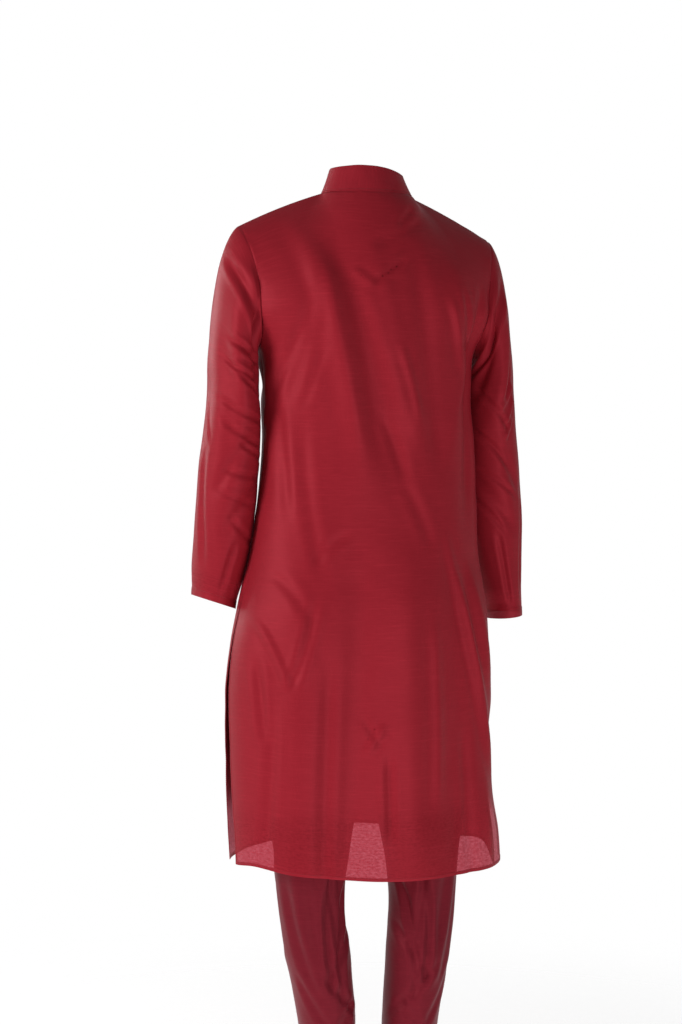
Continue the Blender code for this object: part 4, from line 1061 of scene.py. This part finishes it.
def collar_piece(name, sizes):
    """The doubled, stiffened band: its profile goes up the outer face, over a round top edge and down
    the inner face."""
    turn = np.linspace(-1, 1, 261)
    keep = collar_end(turn)
    turn = turn * (1 - COLLAR_OPENING / 2 / NECK_RUN)
    face, arc = np.linspace(0, 1, 14), np.linspace(0, np.pi, 7)[1:-1]
    up = np.concatenate((face, 1 + COLLAR_TOP_ROUND * np.sin(arc), face[::-1]))
    depth = np.concatenate((np.zeros(14), (1 - np.cos(arc)) / 2, np.ones(14)))
    around, height = np.meshgrid(turn, up, indexing="ij")
    outward = -normals(collar, around, height)
    stitched = np.min([np.abs(up - s) for s in COLLAR_STITCHES], axis=0)
    dent = STITCH_DENT * bell(stitched / 0.035) * np.where(depth < 0.5, 1, -1)
    relief = -dent - sizes.collar_thick * depth
    relief = relief + waves("collar", around * NECK_RUN + 5, height * 0.04 + 5)
    return looped(name, collar(around, height * keep[:, None]) + outward * relief[..., None])


def collar_stitching(name, sizes):
    """Two rows of stitches round the collar: just over its seam and just under its top edge."""
    turn = np.linspace(-0.975, 0.975, 400)
    keep = collar_end(turn)
    rows = path_rows(collar, -1, 0, [(turn, s * keep) for s in COLLAR_STITCHES], sizes)
    return stitching(name, rows, sizes)


front_panel = partial(panel, -1)


def placket_surface(across, level):
    """The upper face of the placket: the front's own surface, moved out."""
    u = across * PLACKET_EDGE_U
    outward = normals(front_panel, u, level)
    return front_panel(u, level) + outward * (PLACKET_LIFT + PLACKET_THICK)


def level_at(z):
    """The level of the front's centre line at a height."""
    trial = np.linspace(SLIT, TOP, 400)
    heights = front_panel(np.zeros(len(trial)), trial)[:, 2]
    return float(np.interp(z, heights, trial))


def placket_piece(name):
    """The placket strip: a strip with rounded edges over the front's own surface, its profile across
    the upper face and back under it."""
    level = np.linspace(level_at(PLACKET_END_Z + 0.006), TOP - 0.01, 130)
    across = np.concatenate((np.linspace(-1, 1, 17), np.linspace(1, -1, 17)))
    upper = np.repeat((1.0, 0.0), 17)
    up, side = np.meshgrid(level, across, indexing="ij")
    u = side * PLACKET_EDGE_U
    outward = normals(front_panel, u, up)
    edge = PLACKET_EDGE + (1 - PLACKET_EDGE) * (1 - np.abs(across) ** PLACKET_EDGE_POWER)
    dent = STITCH_DENT * bell((np.abs(across) - PLACKET_STITCH) / 0.05)
    uneven = waves("placket", side * PLACKET_HALF + 5, up)
    lift = PLACKET_LIFT + upper * (PLACKET_THICK * edge - dent + uneven)
    return looped(name, front_panel(u, up) + outward * lift[..., None])


def placket_stitching(name, sizes):
    """A row up each side of the placket, and one across its foot."""
    up = np.linspace(level_at(PLACKET_END_Z + 0.010), TOP - 0.03, 300)
    side = np.full(len(up), PLACKET_STITCH)
    foot = (np.linspace(-PLACKET_STITCH, PLACKET_STITCH, 30), up[0])
    rows = path_rows(placket_surface, 1, 0, [(side, up), (-side, up), foot], sizes)
    return stitching(name, rows, sizes)


def button_frame(z):
    """A button's middle on the front, its outward normal, and its two other directions."""
    u, level = np.zeros(1), np.array((level_at(z),))
    spot = front_panel(u, level)[0]
    out = normals(front_panel, u, level)[0]
    side = unit(np.cross((0, 0, 1), out))
    return spot, out, side, np.cross(out, side)


def button_piece(name, z):
    """A four-hole button: a disc with a rounded rim round a shallow dish, as a profile carried round
    in rings, with four deep soft pits."""
    radius, height = BUTTON_PROFILE["radius"], BUTTON_PROFILE["height"]
    r, a = np.meshgrid(radius * BUTTON_RADIUS, np.linspace(0, 2 * np.pi, 65))
    x, y = r * np.cos(a), r * np.sin(a)
    h = np.broadcast_to(height * BUTTON_THICK, r.shape)
    top = np.arange(len(radius)) < BUTTON_DISH_RINGS
    for hx, hy in BUTTON_HOLES:
        h = h - HOLE_DEPTH * bell(np.hypot(x - hx, y - hy) / HOLE_RADIUS) * top
    spot, out, side, rise = button_frame(z)
    points = spot + out * (BUTTON_LIFT + h)[..., None] + side * x[..., None] + rise * y[..., None]
    ids = np.arange(r.size).reshape(r.shape)
    ids[-1] = ids[0]
    ids[:, 0], ids[:, -1] = ids[0, 0], ids[0, -1]
    middle, rest = quads(ids[:, :2]), quads(ids[:, 1:-1])
    faces = [*middle[:, 1:], *rest, *quads(ids[:, -2:])[:, [0, 1, 3]]]
    return add_mesh(name, points.reshape(-1, 3), [face[::-1] for face in faces], sharp=50)


def button_thread(name, z, sizes):
    """Two threads crossed over the button's holes."""
    spot, out, side, rise = button_frame(z)
    top = spot + out * (BUTTON_LIFT + BUTTON_PROFILE["height"][0] * BUTTON_THICK + 0.0001)
    cross = np.array((side + rise, side - rise))
    sewn = (np.array((top, top + out * 0.0002)), cross, np.array((out, out)))
    return stitching(name, [sewn], sizes, CROSS_THREAD)


def buttonhole(name, z, sizes):
    """A buttonhole: threads lie side by side along both edges of an upright slot, and a bar closes
    each of its ends."""
    spot, out, side, rise = button_frame(z)
    face = spot + out * (PLACKET_LIFT + PLACKET_THICK)
    steps = np.arange(-HOLE_HALF, HOLE_HALF, sizes.thread_radius * 2.2)
    centres = [face + rise * s + side * d for s in steps for d in (-HOLE_EDGE, HOLE_EDGE)]
    along = [side] * len(centres)
    centres += [face + rise * s for s in (-HOLE_HALF - HOLE_BAR, HOLE_HALF + HOLE_BAR)]
    along += [side] * 2
    rows = [(np.array(centres), np.array(along), np.broadcast_to(out, (len(centres), 3)))]
    return stitching(name, rows, sizes, HOLE_THREAD)


def linear(red, green, blue):
    """A linear colour from the screen values of one."""
    return tuple(((c + 0.055) / 1.055) ** 2.4 if c > 0.04 else c / 12.92 for c in (red, green, blue))


def start_nodes(owner):
    """Empties the nodes of a material or world, and gives back a function that adds one: it sets the
    node's settings, sets or links its inputs by name, and gives back the node."""
    owner.use_nodes = True
    tree = owner.node_tree
    tree.nodes.clear()

    def add(kind, inputs=None, **settings):
        made = tree.nodes.new("ShaderNode" + kind)
        for key, value in settings.items():
            setattr(made, key, value)
        for key, value in (inputs or {}).items():
            if isinstance(value, bpy.types.NodeSocket):
                tree.links.new(value, made.inputs[key])
            else:
                made.inputs[key].default_value = value
        return made

    return add


def once(make):
    """Makes a material the first time, and finds it by its name after that."""
    def material(name, *looks):
        return bpy.data.materials.get(name) or make(name, *looks)

    return material


@once
def cloth_material(name, colours, light, dark, cloth):
    """Woven cloth, laid out in metres of cloth by the UV map. Uneven weft threads with thicker slubs
    run across, finer warp threads run up, and slow clouds vary the dye. A share of the light goes
    straight through each layer of cloth, which counts once, at its outer or inner face."""
    material = bpy.data.materials.new(name)
    add = start_nodes(material)
    place = add("UVMap", uv_map="cloth").outputs["UV"]

    def threads(across, up, seed):
        inputs = {"Vector": place, "Location": (seed, seed, 0), "Scale": (across, up, 1)}
        moved = add("Mapping", inputs)
        inputs = {"Vector": moved.outputs[0], "Scale": 1.0, "Detail": 2.0, "Roughness": 0.6}
        return add("TexNoise", inputs, noise_dimensions="2D").outputs["Fac"]

    def ranged(value, low, high, to_low, to_high):
        inputs = {"Value": value, "From Min": low, "From Max": high,
                  "To Min": to_low, "To Max": to_high}
        return add("MapRange", inputs).outputs[0]

    def math(kind, one, two=0.0):
        return add("Math", {0: one, 1: two}, operation=kind).outputs[0]

    def total(*shares):
        parts = [math("MULTIPLY", value, share) for value, share in shares]
        while len(parts) > 1:
            parts = [math("ADD", parts[0], parts[1]), *parts[2:]]
        return parts[0]

    weft = threads(55, 1000, 3.1)
    slub = ranged(threads(16, 360, 9.7), 0.52, 0.74, 0.0, 1.0)
    warp = threads(900, 28, 5.3)
    cloud = threads(7, 5, 1.9)
    tone = total((weft, 0.55), (slub, cloth["slub"]), (warp, 0.2))
    split = add("SeparateXYZ", {0: place})
    pitch = 2 * np.pi / WEAVE_PITCH
    across, up = (math("SINE", math("MULTIPLY", split.outputs[k], pitch)) for k in "XY")
    weave = math("MULTIPLY", across, up)
    height = total((weft, 0.5), (slub, 1.3 * cloth["slub"]), (warp, 0.2), (weave, 0.06))
    lit, faded = ranged(tone, 0.25, 0.7, 0.0, 1.0), ranged(cloud, 0.3, 0.7, 0.0, 0.22)
    mixed = add("Mix", {0: lit, 6: (*dark, 1), 7: (*light, 1)}, data_type="RGBA")
    clouded = add("Mix", {0: faded, 6: mixed.outputs[2], 7: (*dark, 1)}, data_type="RGBA")
    bump = add("Bump", {"Strength": cloth["bump"], "Distance": 0.0004, "Height": height})
    surface = add("BsdfPrincipled", {
        "Base Color": clouded.outputs[2], "Roughness": cloth["roughness"], "Normal": bump.outputs[0],
        "Sheen Weight": cloth["sheen"], "Sheen Roughness": 0.18, "Sheen Tint": (*colours.kurta_sheen, 1),
        "Specular IOR Level": cloth["gloss"], "Specular Tint": (*colours.kurta_gloss, 1),
    })
    layers = add("Attribute", attribute_name="layers").outputs["Fac"]
    through = math("POWER", cloth["through"], layers)
    through = math("MULTIPLY", through, ranged(tone, 0.2, 0.8, 1.5, 0.5))
    through = math("MULTIPLY", through, ranged(threads(170, 420, 7.7), 0.3, 0.7, 0.5, 1.5))
    tinted = add("BsdfTransparent", {"Color": (*colours.kurta_through, 1)})
    faced = add("MixShader", {0: through, 1: surface.outputs[0], 2: tinted.outputs[0]})
    behind = add("NewGeometry").outputs["Backfacing"]
    sided = add("MixShader", {0: behind, 1: faced.outputs[0], 2: add("BsdfTransparent").outputs[0]})
    add("OutputMaterial", {"Surface": sided.outputs[0]})
    return material


@once
def plain_material(name, colour, roughness, coat, grain):
    """Dyed thread or plastic: one colour, clouded a little by noise on the object's own place."""
    material = bpy.data.materials.new(name)
    add = start_nodes(material)
    place = add("TexCoord").outputs["Object"]
    noise = add("TexNoise", {"Vector": place, "Scale": grain, "Detail": 3.0})
    shade = tuple(0.6 * c for c in colour)
    mixed = add("Mix", {0: noise.outputs["Fac"], 6: (*shade, 1), 7: (*colour, 1)}, data_type="RGBA")
    bump = add("Bump", {"Strength": 0.15, "Distance": 0.0001, "Height": noise.outputs["Fac"]})
    surface = add("BsdfPrincipled", {
        "Base Color": mixed.outputs[2], "Roughness": roughness, "Coat Weight": coat,
        "Coat Roughness": 0.12, "Normal": bump.outputs[0],
    })
    add("OutputMaterial", {"Surface": surface.outputs[0]})
    return material


def dress(thing, material, slot, *nodes):
    """Gives a finished piece its material, lets it ride with the part, and has it stand for its
    solids. The slot argument is not used."""
    thing.data.materials.append(material)
    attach(thing, "root")
    if nodes:
        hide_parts(*nodes)
    return thing


def length(name, description, default):
    """A size in metres."""
    return bpy.props.FloatProperty(name=name, description=description, default=default, min=0.0,
                                   precision=4, subtype="DISTANCE", unit="LENGTH")


def colour(name, description, *screen):
    """A colour, given by its screen values."""
    return bpy.props.FloatVectorProperty(name=name, description=description, default=linear(*screen),
                                         min=0.0, max=1.0, size=3, subtype="COLOR")


class KurtaSizes(bpy.types.PropertyGroup):
    """Sizes of the cloth and the sewing"""

    kurta_cloth: length("Kurta cloth", "Thickness of one layer of the kurta", 0.0007)
    churidar_cloth: length("Churidar cloth", "Thickness of one layer of the churidar", 0.0008)
    collar_thick: length("Collar", "Thickness of the doubled, stiffened collar", 0.0022)
    narrow_hem: length("Kurta hem", "Width of the hem round the bottom and the slits", 0.005)
    cuff_hem: length("Cuff hem", "Width of the hems of the sleeves and the legs", 0.012)
    stitch_length: length("Stitch", "Length of a topstitch", 0.0026)
    stitch_pitch: length("Stitch pitch", "Distance from one topstitch to the next", 0.0032)
    thread_radius: length("Thread radius", "Half the thickness of the thread", 0.00016)


class KurtaColours(bpy.types.PropertyGroup):
    """Colours of the cloth, thread and buttons"""

    kurta_light: colour("Kurta, light", "Raised weft threads of the kurta", 0.640, 0.148, 0.195)
    kurta_dark: colour("Kurta, dark", "Deep weft threads of the kurta", 0.580, 0.124, 0.168)
    kurta_sheen: colour("Kurta sheen", "Tint of the sheen at grazing light", 0.95, 0.55, 0.62)
    kurta_gloss: colour("Gloss", "Tint of the gloss of the threads", 1.0, 0.40, 0.46)
    kurta_through: colour("Kurta, lit through", "Tint of light that comes through", 1.0, 0.55, 0.62)
    churidar_light: colour("Churidar, light", "Raised threads of the churidar", 0.500, 0.140, 0.185)
    churidar_dark: colour("Churidar, dark", "Deep threads of the churidar", 0.430, 0.112, 0.155)
    thread: colour("Thread", "Topstitching and button thread", 0.560, 0.130, 0.170)
    button: colour("Buttons", "Dyed plastic of the buttons", 0.300, 0.070, 0.085)
    floor: colour("Floor", "The studio floor", 0.96, 0.96, 0.96)


def kurta_material(colours):
    """The kurta's slubbed, silk-like weave."""
    return cloth_material("kurta_weave", colours, colours.kurta_light, colours.kurta_dark, {
        "slub": 0.22, "bump": 0.40, "roughness": 0.48, "gloss": 0.42, "sheen": 0.32, "through": 0.15,
    })


def churidar_material(colours):
    """The churidar's plainer, denser weave."""
    return cloth_material("churidar_weave", colours, colours.churidar_light, colours.churidar_dark, {
        "slub": 0.15, "bump": 0.40, "roughness": 0.42, "gloss": 0.23, "sheen": 0.0, "through": 0.02,
    })


def thread_material(colours):
    """Dyed sewing thread."""
    return plain_material("sewing_thread", colours.thread, 0.5, 0.0, 900.0)


class PieceOperator:
    """Makes pieces from the scene's sizes and colours"""

    def execute(self, context):
        self.make(context.scene.kurta_sizes, context.scene.kurta_colours)
        return {"FINISHED"}


class KURTA_OT_panels(PieceOperator, bpy.types.Operator):
    """Adds the back and the front of the kurta, with their hems and topstitching"""

    bl_idname = "kurta.panels"
    bl_label = "Back and front"

    def make(self, sizes, colours):
        for side, half, other, cut in (
            (1, "back", "front", (0.500, 1.010, 0.460)), (-1, "front", "back", (0.495, 0.995, 0.445))
        ):
            piece = body_piece(half + "_cloth", side, sizes)
            dress(piece, kurta_material(colours), "kurta_cloth", "kurta_" + half)
            sewing = body_stitching(half + "_stitching", side, sizes)
            dress(sewing, thread_material(colours), "kurta_cloth")


class KURTA_OT_sleeves(PieceOperator, bpy.types.Operator):
    """Adds the two set-in sleeves, with their hems"""

    bl_idname = "kurta.sleeves"
    bl_label = "Sleeves"

    def make(self, sizes, colours):
        for hand, side in ((1, "left"), (-1, "right")):
            piece = sleeve_piece(f"sleeve_{side}_cloth", hand, sizes)
            dress(piece, kurta_material(colours), "kurta_cloth", "sleeve_" + side)
            sewing = sleeve_stitching(f"sleeve_{side}_stitching", hand, sizes)
            dress(sewing, thread_material(colours), "kurta_cloth")


class KURTA_OT_collar(PieceOperator, bpy.types.Operator):
    """Adds the band collar, with its topstitching"""

    bl_idname = "kurta.collar"
    bl_label = "Band collar"

    def make(self, sizes, colours):
        piece = collar_piece("collar_band", sizes)
        dress(piece, kurta_material(colours), "kurta_cloth", "collar")
        sewing = collar_stitching("collar_stitching", sizes)
        dress(sewing, thread_material(colours), "kurta_cloth")


class KURTA_OT_placket(PieceOperator, bpy.types.Operator):
    """Adds the placket, its topstitching, buttonholes and buttons"""

    bl_idname = "kurta.placket"
    bl_label = "Placket and buttons"

    def make(self, sizes, colours):
        piece = placket_piece("placket_strip")
        dress(piece, kurta_material(colours), "kurta_cloth", "placket")
        sewing = [placket_stitching("placket_stitching", sizes)]
        plastic = plain_material("button_plastic", colours.button, 0.28, 0.35, 260.0)
        for number, z in enumerate(BUTTON_LEVELS, 1):
            button = button_piece(f"button_{number}_disc", z)
            dress(button, plastic, "button_plastic", f"button_{number}")
            sewing.append(button_thread(f"button_{number}_thread", z, sizes))
            sewing.append(buttonhole(f"buttonhole_{number}", z, sizes))
        for thing in sewing:
            dress(thing, thread_material(colours), "kurta_cloth")


class KURTA_OT_churidar(PieceOperator, bpy.types.Operator):
    """Adds the churidar: two legs with their gathered ankles, and the waist casing"""

    bl_idname = "kurta.churidar"
    bl_label = "Churidar"

    def make(self, sizes, colours):
        for hand, side in ((1, "left"), (-1, "right")):
            piece = leg_piece(f"churidar_{side}_cloth", hand, sizes)
            dress(piece, churidar_material(colours), "churidar_cloth", "churidar_leg_" + side)
        casing = waistband_piece("churidar_casing", sizes)
        dress(casing, churidar_material(colours), "churidar_cloth", "churidar_waistband")


class KURTA_OT_stage(bpy.types.Operator):
    """Adds the pale floor, the soft studio light and the camera"""

    bl_idname = "kurta.stage"
    bl_label = "Studio"

    def execute(self, context):
        add_floor(context.scene.kurta_colours.floor)
        add_world()
        for name, place, size, power in STUDIO_LIGHTS:
            light = bpy.data.lights.new(name, "AREA")
            light.shape, light.size, light.energy = "DISK", size, power
            lamp = bpy.data.objects.new(name, light)
            lamp.location = place
            lamp.visible_camera = False
            lamp.rotation_euler = facing(place, GARMENT_MIDDLE)
            context.scene.collection.objects.link(lamp)
        lens = bpy.data.cameras.new("camera")
        lens.lens, lens.sensor_width = CAMERA_LENS, 36
        camera = bpy.data.objects.new("camera", lens)
        camera.location = CAMERA_PLACE
        camera.rotation_euler = facing(CAMERA_PLACE, CAMERA_AIM)
        context.scene.collection.objects.link(camera)
        context.scene.camera = camera
        context.scene.view_settings.view_transform = "Standard"
        return {"FINISHED"}


def facing(place, aim):
    """The turn of a lamp or camera that looks from one point to another."""
    return (Vector(aim) - Vector(place)).to_track_quat("-Z", "Y").to_euler()


def add_floor(shade):
    """A round floor just under the lowest point, which fades out to the white of the backdrop."""
    angle = np.linspace(0, 2 * np.pi, 97)[:-1]
    level = CAD_BOX[0].z - FLOOR_GAP
    points = stack(FLOOR_RADIUS * np.cos(angle), FLOOR_RADIUS * np.sin(angle), level)
    floor = add_mesh("floor", points, [np.arange(96)])
    material = bpy.data.materials.new("studio_floor")
    add = start_nodes(material)
    place = add("TexCoord").outputs["Object"]
    flat = add("VectorMath", {0: place, 1: (1, 1, 0)}, operation="MULTIPLY").outputs[0]
    away = add("VectorMath", {0: flat}, operation="LENGTH").outputs["Value"]
    fade = add("MapRange", {"Value": away, "From Min": FLOOR_FADE[0], "From Max": FLOOR_FADE[1]},
               interpolation_type="SMOOTHSTEP").outputs[0]
    paint = add("BsdfPrincipled", {"Base Color": (*shade, 1), "Roughness": 0.8,
                                   "Emission Color": (*shade, 1), "Emission Strength": FLOOR_GLOW})
    faded = add("MixShader", {0: fade, 1: paint.outputs[0], 2: add("BsdfTransparent").outputs[0]})
    add("OutputMaterial", {"Surface": faded.outputs[0]})
    floor.data.materials.append(material)
    floor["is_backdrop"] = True


def add_world():
    """A white backdrop, whose light on the garment is brighter from one side than from the other."""
    world = bpy.data.worlds.new("studio")
    bpy.context.scene.world = world
    add = start_nodes(world)
    way = add("SeparateXYZ", {0: add("TexCoord").outputs["Generated"]}).outputs
    level = add("MapRange", {"Value": way["Y"], "From Min": -0.6, "From Max": 0.7,
                             "To Min": AMBIENT_BEHIND, "To Max": AMBIENT_BEFORE}).outputs[0]
    above = add("MapRange", {"Value": way["Z"], "From Min": -0.5, "From Max": 0.6,
                             "To Min": 1.0, "To Max": AMBIENT_ABOVE}).outputs[0]
    strength = add("Math", {0: level, 1: above}, operation="MULTIPLY")
    soft = add("Background", {"Color": WHITE, "Strength": strength.outputs[0]})
    white = add("Background", {"Color": WHITE, "Strength": 1.0})
    seen = add("LightPath").outputs["Is Camera Ray"]
    both = add("MixShader", {0: seen, 1: soft.outputs[0], 2: white.outputs[0]})
    add("OutputWorld", {"Surface": both.outputs[0]})


class KURTA_PT_set(bpy.types.Panel):
    """Lists the pieces of the set, the studio, and the sizes and colours"""

    bl_label = "Kurta churidar set"
    bl_space_type = "VIEW_3D"
    bl_region_type = "UI"
    bl_category = "Kurta"

    def draw(self, context):
        for piece in OPERATORS:
            self.layout.operator(piece.bl_idname)
        for group in (context.scene.kurta_sizes, context.scene.kurta_colours):
            box = self.layout.box()
            for name in group.bl_rna.properties.keys():
                if name not in {"rna_type", "name"}:
                    box.prop(group, name)


OPERATORS = (
    KURTA_OT_panels, KURTA_OT_sleeves, KURTA_OT_collar, KURTA_OT_placket, KURTA_OT_churidar,
    KURTA_OT_stage,
)
CLASSES = (KurtaSizes, KurtaColours, *OPERATORS, KURTA_PT_set)


def register():
    for piece in CLASSES:
        bpy.utils.register_class(piece)
    bpy.types.Scene.kurta_sizes = bpy.props.PointerProperty(type=KurtaSizes)
    bpy.types.Scene.kurta_colours = bpy.props.PointerProperty(type=KurtaColours)


def unregister():
    del bpy.types.Scene.kurta_colours
    del bpy.types.Scene.kurta_sizes
    for piece in reversed(CLASSES):
        bpy.utils.unregister_class(piece)


def main():
    """Makes every piece and the studio."""
    register()
    bpy.ops.kurta.panels()
    bpy.ops.kurta.sleeves()
    bpy.ops.kurta.collar()
    bpy.ops.kurta.placket()
    bpy.ops.kurta.churidar()
    bpy.ops.kurta.stage()
    boxes = {"cad": CAD_BOX, "visual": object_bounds()}
    {name: [list(corner) for corner in box] for name, box in boxes.items()}


if __name__ == "__main__":
    main()
